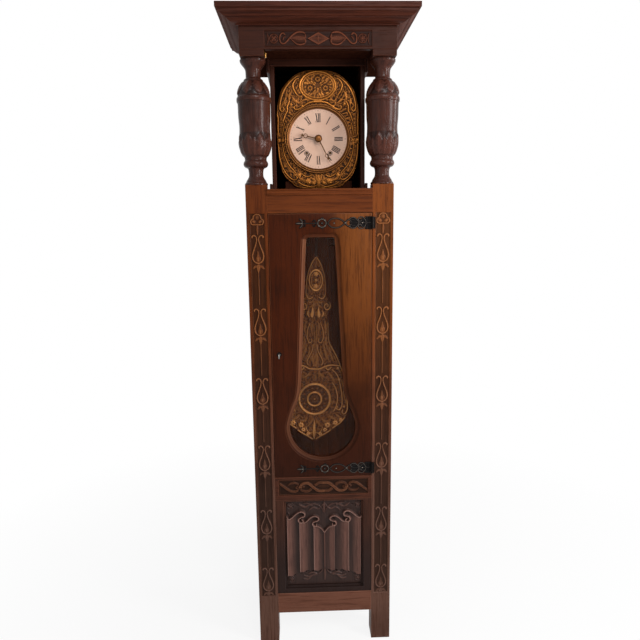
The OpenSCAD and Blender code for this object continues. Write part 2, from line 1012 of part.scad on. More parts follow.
// Rope drum with its arbor, flanges and toothed great wheel
module barrel(side) {
    x = side * arbor_x;
    color(steel) {
        bar_y(x, barrel_z, arbor_r, front_y + 112, cage_y1 + 3);
        upright(front_y + 99, front_y + 112)
            translate([x, barrel_z])
                square(5.6, center = true);
    }
    color(old_brass) {
        ring_y(x, barrel_z, drum_r, arbor_r - 0.5, drum_y0, drum_y0 + drum_l);
        for (y = [drum_y0 - 3, drum_y0 + drum_l])
            ring_y(x, barrel_z, drum_r + 1, arbor_r - 0.5, y, y + 3);
        upright(drum_y0 - 8, drum_y0 - 3)
            translate([x, barrel_z])
                difference() {
                    gear_outline(50, 0);
                    circle(r = arbor_r - 0.5, $fn = 48);
                }
    }
}

module going_barrel() {
    barrel(-1);
}

module strike_barrel() {
    barrel(1);
}

// Cast-iron weight with a hook eye
module weight(side) {
    color(iron)
        translate([side * rope_x, rope_y, weight_top - 30 - weight_h]) {
            rotate_extrude($fn = 72)
                polygon([
                    [0, 0], [weight_r - 4, 0], [weight_r, 4], [weight_r, weight_h - 4],
                    [weight_r - 4, weight_h], [0, weight_h]
                ]);
            cylinder(r = 3, h = weight_h + 12, $fn = 32);
            translate([0, 0, weight_h + 18])
                rotate([90, 0, 0])
                    rotate_extrude($fn = 48)
                        translate([8, 0])
                            circle(r = 2.5, $fn = 24);
        }
}

module going_weight() {
    weight(-1);
}

module strike_weight() {
    weight(1);
}

module rope(side) {
    color([0.55, 0.45, 0.30])
        translate([side * rope_x, rope_y, weight_top - 1.5])
            cylinder(r = rope_r, h = barrel_z - weight_top + 1.5, $fn = 24);
}

module going_rope() {
    rope(-1);
}

module strike_rope() {
    rope(1);
}

// Escape wheel with pointed teeth
module escape_wheel() {
    teeth = 30;
    color(old_brass)
        upright(cage_y0 + 60, cage_y0 + 63)
            translate([0, escape_z])
                polygon([
                    for (i = [0 : teeth - 1])
                        for (p = [[11.5, 0], [14, 5], [11.5, 7]])
                            let (a = i * 360 / teeth + p[1])
                            [p[0] * cos(a), p[0] * sin(a)]
                ]);
    color(steel)
        bar_y(0, escape_z, escape_r, cage_y0, cage_y1);
}

// Anchor, its arbor and the crutch that drives the pendulum
module anchor() {
    color(steel) {
        upright(cage_y0 + 59, cage_y0 + 64)
            translate([0, pivot_z])
                difference() {
                    polygon([
                        [-24, -22], [-20, -24], [-17, -8], [0, -5], [17, -8], [20, -24],
                        [24, -22], [20, 0], [0, 6], [-20, 0]
                    ]);
                    circle(r = anchor_r - 0.5, $fn = 32);
                }
        bar_y(0, pivot_z, anchor_r, pendulum_y + 6, cage_y1);
        translate([0, 0, pivot_z])
            rotate([0, -swing, 0]) {
                block([-3, pendulum_y + 6, -38], [3, pendulum_y + 9, 4]);
                bar_y(0, -33, 1.6, pendulum_y - 4, pendulum_y + 7);
            }
    }
}

// Everything on the pendulum is drawn hanging and turned to its place in the swing
module swung() {
    translate([0, 0, pivot_z])
        rotate([0, -swing, 0])
            translate([0, 0, -pivot_z])
                children();
}

module pendulum_rod() {
    eye_z = dial_z;
    color(steel)
        swung()
            difference() {
                union() {
                    upright(pendulum_y - 1.5, pendulum_y + 1.5) {
                        translate([-6, bob_z - 100])
                            square([12, pivot_z - bob_z + 100]);
                        translate([0, pivot_z])
                            circle(r = 7, $fn = 48);
                        translate([0, eye_z])
                            circle(r = 20, $fn = 64);
                    }
                }
                bar_y(0, pivot_z, 2.5 + running, pendulum_y - 5, pendulum_y + 5);
                bar_y(0, pivot_z - 33, 2, pendulum_y - 5, pendulum_y + 5);
                bar_y(0, eye_z, 14, pendulum_y - 5, pendulum_y + 5);
            }
}

// Outline of the embossed front of the pendulum
function pendulum_half() = smooth([
    [6, 1566], [16, 1552], [26, 1524], [36, 1490], [40, 1450], [41, 1416], [48, 1394],
    [59, 1380], [60, 1362], [51, 1344], [46, 1328], [53, 1306], [54, 1262], [58, 1230],
    [70, 1206], [88, 1174], [105, 1131], [119, 1088], [131, 1025], [138, 965], [137, 938],
    [126, 910], [104, 882], [74, 860], [40, 836], [6, 814]
], 4);

module pendulum_front() {
    front = pendulum_y - 4.5;
    color(old_brass)
        swung() {
            upright(front, pendulum_y - 1.5)
                polygon(mirrored(pendulum_half()));
            ring_y(0, bob_z, 66, 59, front - 7, front + 1);
            ring_y(0, bob_z, 31, 25, front - 5, front + 1);
            bar_y(0, bob_z, 25.5, front - 2, front + 1);
            upright(front - 4, front + 1)
                translate([0, 1474])
                    polygon([for (a = [0 : 10 : 350]) [24 * cos(a), 38 * sin(a)]]);
        }
}

module pendulum_bob() {
    color(iron)
        swung()
            translate([0, pendulum_y + 1.5, bob_z])
                rotate([-90, 0, 0])
                    rotate_extrude($fn = 96)
                        polygon([
                            [0, 0], [86, 0], [88, 3], [80, 9], [50, 15], [0, 17]
                        ]);
}

// Striking hammer on its arbor, head just clear of the bell
module hammer() {
    head_z = cage_z1 + 22;
    color(iron) {
        bar_y(hammer_x, hammer_z, hammer_r, cage_y0 - 2, cage_y1 + 2);
        bar_y(hammer_x, hammer_z, 6, mid_y - 5, mid_y + 5);
        block([hammer_x - 2.5, mid_y - 3, hammer_z], [hammer_x + 2.5, mid_y + 3, head_z]);
        translate([52, mid_y, head_z])
            rotate([0, 90, 0])
                cylinder(r = 6, h = 26, $fn = 40);
    }
}

front_post_left();
front_post_right();
rear_post_left();
rear_post_right();
top_rail_front();
mid_rail_front();
guilloche_panel();
linenfold_frame();
linenfold_panel();
bottom_rail_front();
side_rails();
side_panel_left();
side_panel_right();
back_board();
trunk_floor();
hood_floor();
column_left();
column_right();
column_blocks();
frieze_front();
frieze_sides();
crown_front();
crown_left();
crown_right();
top_board();
soffit_board();
hood_side_left();
hood_side_right();
hood_mouldings();
seat_board();
hinge_pins();
hood_catch();
dial_surround();
dial_bezel();
enamel_dial();
movement_cage();
bell();
door_board();
window_glass();
strap_hinge_upper();
strap_hinge_lower();
door_lock();
door_key();
lock_bolt();
centre_arbor();
minute_hand();
hour_hand();
motion_wheel();
going_barrel();
strike_barrel();
going_weight();
strike_weight();
going_rope();
strike_rope();
escape_wheel();
anchor();
pendulum_rod();
pendulum_front();
pendulum_bob();
hammer();
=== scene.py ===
import math

import bmesh
import bpy
import numpy as np
from mathutils import Matrix, Vector


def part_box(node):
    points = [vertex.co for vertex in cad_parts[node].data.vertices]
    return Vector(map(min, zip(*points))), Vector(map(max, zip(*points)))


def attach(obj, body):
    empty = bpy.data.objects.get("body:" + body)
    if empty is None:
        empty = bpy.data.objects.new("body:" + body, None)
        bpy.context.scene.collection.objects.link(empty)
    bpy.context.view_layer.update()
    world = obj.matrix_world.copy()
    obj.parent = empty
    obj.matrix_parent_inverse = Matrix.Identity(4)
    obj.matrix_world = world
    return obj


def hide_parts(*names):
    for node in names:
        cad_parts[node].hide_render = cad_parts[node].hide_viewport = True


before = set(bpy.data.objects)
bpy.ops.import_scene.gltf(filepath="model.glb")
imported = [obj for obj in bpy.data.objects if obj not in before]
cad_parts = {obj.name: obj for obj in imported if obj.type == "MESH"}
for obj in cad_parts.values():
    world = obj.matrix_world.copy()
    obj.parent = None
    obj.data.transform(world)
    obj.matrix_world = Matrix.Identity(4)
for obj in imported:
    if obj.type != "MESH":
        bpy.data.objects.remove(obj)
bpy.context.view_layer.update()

MM = 0.001


def box_mm(node):
    low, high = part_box(node)
    return [v / MM for v in low], [v / MM for v in high]


# Places that the carving and the trim are set out from, in millimetres; the frame gives the boxes
POST_LOW, POST_HIGH = box_mm("front_post_right")
DOOR_LOW, DOOR_HIGH = box_mm("door_board")
POST_X = (POST_LOW[0] + POST_HIGH[0]) / 2
FRONT = POST_LOW[1]
DIAL_Z = 1995.0
PIVOT_Z = 2066.0
BOB_Z = 991.0
SWING = math.radians(1.45)


# Shader maths

class Val:
    """One output of a node; the operators add Math nodes"""

    def __init__(self, nodes, socket):
        self.nodes = nodes
        self.socket = socket

    def __add__(self, other):
        return self.nodes.math("ADD", self, other)

    __radd__ = __add__

    def __sub__(self, other):
        return self.nodes.math("SUBTRACT", self, other)

    def __rsub__(self, other):
        return self.nodes.math("SUBTRACT", other, self)

    def __mul__(self, other):
        return self.nodes.math("MULTIPLY", self, other)

    __rmul__ = __mul__

    def clamped(self):
        return self.nodes.math("ADD", self, 0.0, clamp=True)


class Nodes:
    """A tree of shader nodes, emptied but for its output, and the calls that add to it"""

    def __init__(self, tree, output):
        self.tree = tree
        tree.nodes.clear()
        self.output = tree.nodes.new(output)

    def show(self, surface):
        self.tree.links.new(surface.socket, self.output.inputs["Surface"])

    def node(self, kind, settings, sockets, out=0):
        made = self.tree.nodes.new(kind)
        for key, value in settings.items():
            setattr(made, key, value)
        for key, value in sockets.items():
            if isinstance(value, Val):
                self.tree.links.new(value.socket, made.inputs[key])
            else:
                made.inputs[key].default_value = value
        return Val(self, made.outputs[out])

    def math(self, operation, a, b, clamp=False):
        return self.node(
            "ShaderNodeMath", {"operation": operation, "use_clamp": clamp}, {0: a, 1: b}
        )

    def seen_directly(self):
        """1 where the camera, or a reflection or glass, looks at this surface itself"""
        seen = 0.0
        for ray in ("Is Camera Ray", "Is Glossy Ray", "Is Transmission Ray"):
            seen = self.math("MAXIMUM", seen, self.node("ShaderNodeLightPath", {}, {}, ray))
        return seen


class Finish(Nodes):
    """A material: its shader and the patterns that feed it"""

    def __init__(self, name, **constants):
        self.material = bpy.data.materials.new(name)
        self.material.use_nodes = True
        super().__init__(self.material.node_tree, "ShaderNodeOutputMaterial")
        self.shader = self.tree.nodes.new("ShaderNodeBsdfPrincipled")
        self.surface = Val(self, self.shader.outputs[0])
        self.show(self.surface)
        for socket, value in constants.items():
            self.shader.inputs[socket.replace("_", " ")].default_value = value

    def mix(self, a, b, share):
        """Colour a turning to colour b as share goes from 0 to 1"""
        return self.node("ShaderNodeMix", {"data_type": "RGBA"}, {0: share, 6: a, 7: b}, 2)

    def ramp(self, value, start, end):
        """A number read along a slope; start and end are each a place and a level there"""
        return self.node(
            "ShaderNodeMapRange", {"interpolation_type": "SMOOTHSTEP"},
            {"Value": value, "From Min": start[0], "From Max": end[0],
             "To Min": start[1], "To Max": end[1]},
        )

    def here(self):
        """Object coordinates, in metres"""
        return self.node("ShaderNodeTexCoord", {}, {}, "Object")

    def place(self, scale=(1, 1, 1)):
        """Object coordinates, stretched"""
        return self.node("ShaderNodeMapping", {}, {"Vector": self.here(), "Scale": scale})

    def along(self, axis):
        """Where a point lies along X, Y or Z, in metres"""
        return self.node("ShaderNodeSeparateXYZ", {}, {"Vector": self.here()}, axis)

    def noise(self, where, scale, detail, rough, twist=0.0):
        return self.node(
            "ShaderNodeTexNoise", {},
            {"Vector": where, "Scale": scale, "Detail": detail, "Roughness": rough,
             "Distortion": twist},
        )

    def carved(self):
        """How high a carved point stands, from -1 in a hollow to 1 on a crest or worn edge"""
        return self.node("ShaderNodeAttribute", {"attribute_name": "crest"}, {}, 2)

    def bump(self, height, strength, distance):
        return self.node(
            "ShaderNodeBump", {},
            {"Height": height, "Strength": strength, "Distance": distance},
        )

    def feed(self, **links):
        for socket, value in links.items():
            self.tree.links.new(value.socket, self.shader.inputs[socket.replace("_", " ")])
        return self.material


def rgb(red, green, blue):
    """Colour written as on a screen, 0 to 255, for a shader"""
    def linear(level):
        level /= 255
        return level / 12.92 if level <= 0.04045 else ((level + 0.055) / 1.055) ** 2.4
    return (linear(red), linear(green), linear(blue), 1.0)


# Finishes

GRAIN_STRETCH = {"x": (0.05, 1, 1), "y": (1, 0.05, 1), "z": (1, 1, 0.05)}


def oak(name, grain, body, light, dark, low=None, gloss=0.42, painted_sunlit=None, shine=0.07,
        rubbed=0.5, dirt_and_shade=0.45, low_reach=(0.5, 1.45), edge=None):
    """Stained oak: tone in broad bands, fine grain, dark pores, rubbed edges, and hollows darkened
    by dirt and painted shade.

    low is the tone that it takes on between the two heights of low_reach, painted_sunlit a painted
    light on what is high and to the right, edge the colour of rubbed edges.
    """
    wood = Finish(name, Specular_IOR_Level=shine)
    stretch = GRAIN_STRETCH[grain]
    stretched = wood.place(stretch)
    finer = wood.place(tuple(s if s == 1 else s * 0.5 for s in stretch))
    bands = wood.noise(stretched, 11, 3, 0.6, 0.6)
    streaks = wood.noise(stretched, 120, 4, 0.65, 0.2)
    pores = wood.ramp(wood.noise(finer, 620, 2, 0.6), (0.56, 0.0), (0.68, 1.0))
    blotch = wood.noise(wood.place(), 5.5, 3, 0.6)
    tone = (bands * 0.9 + streaks * 0.9 - 0.5).clamped()
    colour = wood.mix(rgb(*body), rgb(*light), tone)
    # Painted light: what is high and to the right is painted in a lighter, warmer tone, as if light
    # falls on it from the right
    if painted_sunlit:
        right = wood.ramp(wood.along("X"), (0.02, 0.0), (0.11, 1.0))
        upper = wood.ramp(wood.along("Z"), (0.75, 0.0), (1.7, 1.0))
        colour = wood.mix(colour, rgb(*painted_sunlit), right * upper * (0.55 + streaks * 0.75))
    lowness = wood.ramp(wood.along("Z"), (low_reach[0], 1.0), (low_reach[1], 0.0))
    if low:
        colour = wood.mix(colour, rgb(*low), lowness * (0.55 + streaks * 0.5))
    streaky = wood.ramp(streaks, (0.5, 0.0), (0.36, 1.0))
    colour = wood.mix(colour, rgb(*dark), (streaky * 0.4).clamped())
    colour = wood.mix(colour, rgb(*dark), (pores * 0.45).clamped())
    colour = wood.mix(colour, rgb(*dark), wood.ramp(blotch, (0.5, 0.0), (0.72, 0.4)))
    # Crests and eased edges are painted lighter as rubbed wear; on the linenfold the crest lines of
    # the folds and rolls take a painted highlight here too
    crest = wood.carved()
    worn = wood.ramp(crest, (0.1, 0.0), (1.0, rubbed)) * (0.5 + blotch * 0.9)
    arris = rgb(*(edge or [1.2 * level + 10 for level in light]))
    if low:
        arris = wood.mix(arris, rgb(*[1.25 * level + 12 for level in low]), lowness)
    colour = wood.mix(colour, arris, worn.clamped())
    # Hollows are painted darker the deeper they lie: dirt lodged in them, and painted shade
    hollow = wood.ramp(crest, (-0.05, 0.0), (-1.0, dirt_and_shade))
    colour = wood.mix(colour, rgb(*[level * 0.4 for level in dark]), hollow)
    rough = gloss + pores * 0.18 + blotch * 0.16 - 0.06
    relief = streaks * 0.5 - pores * 0.9
    return wood.feed(
        Base_Color=colour, Roughness=rough, Normal=wood.bump(relief, 0.35, 0.0007)
    )


LOW_TONE = (94, 69, 59)
FINISHES = {
    "post": oak("oak_post", "z", (82, 36, 13), (116, 59, 26), (46, 20, 10), LOW_TONE,
                painted_sunlit=(122, 64, 27)),
    "rail": oak("oak_post_across", "x", (86, 39, 15), (118, 61, 28), (48, 22, 11),
                (110, 72, 58)),
    "mid_rail": oak("oak_mid_rail", "x", (62, 34, 25), (88, 50, 35), (34, 18, 13), rubbed=0.6),
    "dark": oak("oak_dark", "z", (50, 25, 17), (72, 38, 26), (26, 13, 9), (56, 38, 33)),
    "frame": oak("oak_frame", "z", (58, 34, 25), (80, 48, 36), (32, 19, 14), (36, 28, 27),
                 low_reach=(0.3, 0.64)),
    "dark_across": oak("oak_dark_across", "x", (46, 22, 15), (66, 34, 23), (26, 13, 9)),
    "inner": oak("oak_inner", "z", (50, 25, 16), (66, 35, 24), (24, 12, 8), (138, 68, 42),
                 gloss=0.7, shine=0.0, low_reach=(1.55, 1.8)),
    "carved": oak("oak_carved", "z", (76, 36, 15), (116, 64, 31), (36, 17, 9), (78, 55, 46),
                  painted_sunlit=(124, 72, 38), rubbed=0.7, dirt_and_shade=0.6, edge=(158, 100, 58)),
    "carved_across": oak("oak_carved_across", "x", (48, 22, 14), (70, 36, 24), (26, 13, 9),
                         rubbed=0.75, dirt_and_shade=0.5, edge=(120, 66, 44)),
    "band": oak("oak_band", "x", (64, 36, 25), (96, 58, 38), (30, 17, 12), (66, 43, 34),
                rubbed=0.7, dirt_and_shade=0.75, edge=(124, 78, 52), low_reach=(0.2, 0.7)),
    "folds": oak("oak_folds", "z", (88, 58, 50), (120, 82, 70), (46, 29, 26), gloss=0.4,
                 shine=0.18, rubbed=0.95, dirt_and_shade=0.8, edge=(160, 124, 112)),
    "column": oak("oak_column", "z", (56, 29, 22), (84, 45, 34), (24, 12, 9), gloss=0.18,
                  shine=0.13, rubbed=0.25, dirt_and_shade=0.7),
    "crown": oak("oak_crown", "x", (58, 27, 19), (88, 44, 30), (32, 16, 12), rubbed=0.4),
    "crown_side": oak("oak_crown_side", "y", (58, 27, 19), (88, 44, 30), (32, 16, 12),
                      gloss=0.55, shine=0.05, rubbed=0.4),
    "door": oak("oak_door", "z", (55, 21, 6), (74, 30, 10), (30, 12, 5), (44, 21, 13), 0.34,
                (118, 65, 28), shine=0.06, rubbed=0.8, edge=(134, 84, 58)),
}


def metal(name, bright, dull, deep, rough, metallic, patina=0.5):
    """Cast, pressed or forged metal: bright where it is rubbed, dull and dark in hollows"""
    stuff = Finish(name, Specular_IOR_Level=0.12)
    here = stuff.place()
    cloud = stuff.noise(here, 38, 4, 0.65)
    fine = stuff.noise(here, 260, 3, 0.6)
    crest = stuff.carved()
    rubbed = (stuff.ramp(crest, (-0.2, 0.0), (0.9, 1.0)) * 0.8 + cloud * patina - 0.1).clamped()
    colour = stuff.mix(rgb(*dull), rgb(*bright), rubbed)
    sunk = stuff.ramp(crest, (0.0, 0.0), (-0.8, 0.92))
    colour = stuff.mix(colour, rgb(*deep), sunk)
    stain = stuff.ramp(cloud, (0.58, 0.0), (0.74, 0.6))
    colour = stuff.mix(colour, rgb(*deep), stain)
    return stuff.feed(
        Base_Color=colour,
        Roughness=rough + fine * 0.25 - rubbed * 0.12 + sunk * 0.2,
        Metallic=(metallic - sunk * 0.5 - stain * 0.3).clamped(),
        Normal=stuff.bump(fine, 0.12, 0.0004),
    )


FINISHES.update({
    "pressed": metal("pressed_brass", (168, 104, 42), (94, 54, 22), (32, 18, 9), 0.28, 0.62),
    "pendulum": metal("pendulum_brass", (230, 160, 92), (116, 68, 34), (46, 27, 16), 0.32, 0.58,
                      0.3),
    "polished": metal("polished_brass", (190, 142, 78), (130, 90, 46), (60, 38, 18), 0.26, 0.9),
    "old_polished": metal("old_polished", (146, 92, 46), (86, 52, 27), (40, 24, 14), 0.27, 0.7),
    "hand": metal("hand_brass", (116, 80, 48), (66, 44, 28), (30, 20, 14), 0.3, 0.6),
    "wheel": metal("wheel_brass", (160, 122, 70), (116, 84, 44), (56, 38, 20), 0.3, 0.9),
    "iron": metal("black_iron", (124, 112, 102), (18, 14, 13), (7, 5, 5), 0.27, 0.6, 0.1),
    "cast": metal("weight_iron", (70, 64, 60), (40, 34, 32), (18, 14, 13), 0.55, 0.5),
    "steel": metal("steel", (176, 172, 166), (122, 118, 114), (58, 52, 48), 0.28, 0.95),
    "bell": metal("bell_metal", (190, 170, 122), (146, 124, 80), (70, 56, 34), 0.25, 0.95),
})


def enamel():
    """Glossy vitreous enamel, a warm white with faint clouding and specks"""
    glaze = Finish("enamel", Roughness=0.16, Coat_Weight=0.3, Coat_Roughness=0.06)
    here = glaze.place()
    cloud = glaze.noise(here, 22, 3, 0.6)
    speck = glaze.ramp(glaze.noise(here, 320, 2, 0.5), (0.7, 0.0), (0.8, 1.0))
    colour = glaze.mix(rgb(224, 186, 162), rgb(206, 160, 134), cloud)
    colour = glaze.mix(colour, rgb(150, 112, 92), (speck * 0.5).clamped())
    wave = glaze.noise(here, 60, 2, 0.5)
    return glaze.feed(Base_Color=colour, Normal=glaze.bump(wave, 0.05, 0.0005))


def numeral_black():
    """Black paint fired on the enamel, a little greyed in places"""
    paint = Finish("numeral_black", Specular_IOR_Level=0.1)
    cloud = paint.noise(paint.place(), 140, 3, 0.6)
    greyed = paint.ramp(cloud, (0.45, 0.0), (0.75, 1.0))
    colour = paint.mix(rgb(18, 14, 20), rgb(44, 36, 42), greyed)
    return paint.feed(Base_Color=colour, Roughness=0.3 + cloud * 0.2)


def glass():
    """Old window glass: nearly clear, faintly wavy and dusty"""
    # The reddish-brown base colour paints a faint reflection of the room in the glass
    pane = Finish("glass", Base_Color=rgb(84, 46, 30), Specular_IOR_Level=0.5)
    here = pane.place()
    wave = pane.noise(here, 9, 2, 0.5)
    dust = pane.noise(here, 70, 4, 0.6)
    return pane.feed(
        Alpha=0.09 + pane.ramp(dust, (0.5, 0.0), (0.8, 0.05)),
        Roughness=0.03 + dust * 0.05,
        Normal=pane.bump(wave, 0.25, 0.002),
    )


def rope():
    """Laid hemp: strands that slant round the rope, and fine fibres along it"""
    hemp = Finish("rope", Roughness=0.85)
    lay = hemp.node(
        "ShaderNodeTexWave", {"wave_type": "BANDS", "bands_direction": "DIAGONAL"},
        {"Vector": hemp.place(), "Scale": 160, "Distortion": 1.5, "Detail": 2.0}, 1
    )
    fibre = hemp.noise(hemp.place((1, 1, 0.3)), 900, 3, 0.6)
    colour = hemp.mix(rgb(104, 84, 56), rgb(164, 138, 98), lay * 0.6 + fibre * 0.4)
    return hemp.feed(Base_Color=colour, Normal=hemp.bump(lay + fibre * 0.4, 0.5, 0.0008))


FINISHES.update({
    "enamel": enamel(), "numeral": numeral_black(), "glass": glass(), "rope": rope(),
})


# Mesh tools

CLOSE = 0.00002  # points nearer than this, in metres, are merged into one


def curve(rows, steps=8):
    """Points on a smooth curve through every row"""
    rows = np.array(rows, float)
    ends = np.vstack([rows[:1], rows, rows[-1:]])
    made = []
    for i in range(len(rows) - 1):
        a, b, c, d = ends[i : i + 4]
        for t in np.arange(steps) / steps:
            made.append(
                0.5 * (2 * b + (c - a) * t + (2 * a - 5 * b + 4 * c - d) * t * t
                       + (3 * b - a - 3 * c + d) * t ** 3)
            )
    made.append(rows[-1])
    return np.array(made)


def piece(name, mesh, body, finish, stands_for=()):
    """Puts a mesh in the scene as a piece that rides on a body"""
    made = bpy.data.objects.new(name, mesh)
    bpy.context.scene.collection.objects.link(made)
    mesh.materials.clear()
    mesh.materials.append(FINISHES[finish])
    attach(made, body)
    if stands_for:
        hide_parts(*stands_for)


def shade(bm, sharp_angle):
    """Smooth shading, with edges sharper than an angle in degrees kept crisp"""
    for face in bm.faces:
        face.smooth = True
    for edge in bm.edges:
        edge.smooth = edge.calc_face_angle(0.0) < math.radians(sharp_angle)


def into_mesh(bm, name, sharp_angle=None):
    if sharp_angle is not None:
        shade(bm, sharp_angle)
    mesh = bpy.data.meshes.new(name)
    bm.to_mesh(mesh)
    bm.free()
    return mesh


def points_of(mesh):
    """A mesh's points, a row for each"""
    points = np.empty(len(mesh.vertices) * 3)
    mesh.vertices.foreach_get("co", points)
    return points.reshape(-1, 3)


def fine_grid(name, columns, rows):
    """A flat grid, and its points, which run from -1 to 1 across and up"""
    bm = bmesh.new()
    bmesh.ops.create_grid(bm, x_segments=columns, y_segments=rows, size=1.0)
    mesh = into_mesh(bm, name)
    return mesh, points_of(mesh)


def outward(bm, reach=0.00001):
    """Merges doubles and turns every face outwards"""
    bmesh.ops.remove_doubles(bm, verts=bm.verts, dist=reach)
    bmesh.ops.recalc_face_normals(bm, faces=bm.faces)


def turned(rows, steps=48):
    """A turning about Z from rows of radius and height, in millimetres"""
    bm = bmesh.new()
    verts = [bm.verts.new((r * MM, 0, up * MM)) for r, up in rows]
    for a, b in zip(verts, verts[1:]):
        bm.edges.new((a, b))
    bmesh.ops.spin(
        bm, geom=bm.verts[:] + bm.edges[:], cent=(0, 0, 0), axis=(0, 0, 1),
        angle=math.tau, steps=steps, use_merge=True, use_duplicate=False,
    )
    outward(bm)
    return bm


def facing(bm, x, y, z):
    """Turns a turning about Z to face the viewer and sets it in place, in millimetres"""
    bm.transform(Matrix.Rotation(math.pi / 2, 4, "X"))
    bm.transform(Matrix.Translation((x * MM, y * MM, z * MM)))
    return bm


def joined_ring(bm, verts):
    """Edges through a ring of points"""
    return [bm.edges.new((a, b)) for a, b in zip(verts, verts[1:] + verts[:1])]


def eased(node, finish, width):
    """A board of the case copied from its CAD node, with its arrises eased and worn"""
    bm = bmesh.new()
    bm.from_mesh(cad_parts[node].data)
    bmesh.ops.remove_doubles(bm, verts=bm.verts, dist=CLOSE)
    bmesh.ops.dissolve_limit(
        bm, angle_limit=math.radians(1), verts=bm.verts, edges=bm.edges,
        use_dissolve_boundaries=False,
    )
    crest = bm.faces.layers.float.new("crest")
    arrises = [e for e in bm.edges if e.calc_face_angle(0.0) > math.radians(40)]
    worn = bmesh.ops.bevel(
        bm, geom=arrises, offset=width * MM, offset_type="OFFSET", segments=2, profile=0.5,
        affect="EDGES", clamp_overlap=True, material=-1,
    )["faces"]
    for face in worn:
        face[crest] = 0.8
    piece(node + "_worked", into_mesh(bm, node + "_worked"), "case", finish, [node])


# Carving

PROUD = 0.15  # how far the ground of a carved strip stands before the solid under it
RIM_SUNK = -1.0  # the rim of carved work dips this far into the solid


def on_side(rows, side):
    """Rows of the right half, or the same mirrored about the middle line for the left half"""
    return [(side * r[0], *r[1:]) for r in rows]


class Carving:
    """Heights of carved work over its ground, in millimetres, at points across a face"""

    def __init__(self, x, z, ground=0.0):
        self.x = x
        self.z = z
        self.height = np.full(x.shape, float(ground))

    def near(self, low_x, high_x, low_z, high_z):
        return np.flatnonzero(
            (self.x > low_x) & (self.x < high_x) & (self.z > low_z) & (self.z < high_z)
        )

    def ridge(self, rows, top, base=0.0, groove=0.0, veins=0.0, over=False, full=0.5):
        """A rounded ridge along rows of x, z and half width, with a groove or veins on it.

        It joins what stands there, or with over set crosses above it and sinks the ground
        beside it. full sets its section: 0.5 is half round, less is flatter on top.
        """
        line = curve(rows)
        reach = line[:, 2].max() * 1.6
        near = self.near(
            line[:, 0].min() - reach, line[:, 0].max() + reach,
            line[:, 1].min() - reach, line[:, 1].max() + reach,
        )
        if not len(near):
            return
        x, z = self.x[near], self.z[near]
        across = np.full(x.shape, 9.0)
        along = np.zeros(x.shape)
        past_end = np.zeros(x.shape, bool)
        travelled = 0.0
        for place, (start, end) in enumerate(zip(line[:-1], line[1:])):
            run = end - start
            length = max(math.hypot(run[0], run[1]), 0.001)
            free = ((x - start[0]) * run[0] + (z - start[1]) * run[1]) / length ** 2
            t = np.clip(free, 0, 1)
            away = np.hypot(x - start[0] - run[0] * t, z - start[1] - run[1] * t)
            away = away / np.maximum(start[2] + run[2] * t, 0.05)
            closer = away < across
            across[closer] = away[closer]
            along[closer] = travelled + t[closer] * length
            beyond = (free < 0) if place == 0 else (free > 1) & (place == len(line) - 2)
            past_end[closer] = beyond[closer]
            travelled += length
        rise = base + (top - base) * np.clip(1 - across ** 2, 0, 1) ** full
        rise -= groove * np.exp(-(across / 0.25) ** 2)
        if veins:
            rise -= veins * np.clip(np.sin(along * 1.1 - across * 3.0), 0, 1) * across
        inside = across < 1
        height = self.height[near]
        if over:
            beside = (across >= 1) & (across < 1.5) & ~past_end
            height[beside] = np.minimum(height[beside], base)
            covering = inside & ~past_end
            height[covering] = rise[covering]
            end = inside & past_end
            height[end] = np.maximum(height[end], rise[end])
        else:
            height[inside] = np.maximum(height[inside], rise[inside])
        self.height[near] = height

    def both(self, rows, top, **more):
        """The same ridge on both sides of the middle line"""
        for side in (-1, 1):
            self.ridge(on_side(rows, side), top, **more)

    def lift(self, near, inside, rise):
        """Raises the work to rise inside a shape, where it doesn't stand higher already"""
        height = self.height[near]
        self.height[near] = np.where(inside, np.maximum(height, rise), height)

    def dome(self, x, z, wide, tall, top):
        near = self.near(x - wide, x + wide, z - tall, z + tall)
        away = ((self.x[near] - x) / wide) ** 2 + ((self.z[near] - z) / tall) ** 2
        self.lift(near, away < 1, top * np.clip(1 - away, 0, 1) ** 0.5)

    def hoop(self, x, z, wide, tall, half_width, top, base=0.0):
        """A raised ring, round or oval"""
        reach_x, reach_z = wide + half_width, tall + half_width
        near = self.near(x - reach_x, x + reach_x, z - reach_z, z + reach_z)
        dx, dz = self.x[near] - x, self.z[near] - z
        away = (np.hypot(dx / wide, dz / tall) - 1) * min(wide, tall) / half_width
        rise = base + (top - base) * np.clip(1 - away ** 2, 0, 1) ** 0.5
        self.lift(near, np.abs(away) < 1, rise)

    def flower(self, x, z, radius, petals, top, base=0.0, turn=0.0):
        """A rosette: petals round a button"""
        near = self.near(x - radius, x + radius, z - radius, z + radius)
        dx, dz = self.x[near] - x, self.z[near] - z
        away = np.hypot(dx, dz) / radius
        petal = np.abs(np.cos(petals * (np.arctan2(dz, dx) - turn) / 2))
        edge = 0.68 + 0.32 * petal
        swell = np.clip(1 - (away / edge) ** 2, 0, 1) ** 0.5 * (0.55 + 0.45 * petal)
        rise = base + (top - base) * swell
        button = base + (top - base) * np.clip(1.1 - (away / 0.3) ** 2, 0, 1) ** 0.5
        rise = np.where(away < 0.3, np.maximum(rise * 0.8, button), rise)
        self.lift(near, away < edge, rise)

    def leaf(self, x, z, length, width, turn, top, base=0.0):
        """A pointed leaf with a cut down its middle, its foot at x, z"""
        near = self.near(x - length, x + length, z - length, z + length)
        dx, dz = self.x[near] - x, self.z[near] - z
        along = (dx * math.sin(turn) + dz * math.cos(turn)) / length
        across = dx * math.cos(turn) - dz * math.sin(turn)
        half = width * np.sin(np.clip(along, 0, 1) * math.pi) ** 0.8 + 0.01
        off = np.abs(across) / half
        rise = base + (top - base) * np.clip(1 - off ** 2, 0, 1) ** 0.5
        rise -= 0.35 * (top - base) * np.exp(-(off / 0.3) ** 2)
        self.lift(near, (off < 1) & (along > 0) & (along < 1), rise)

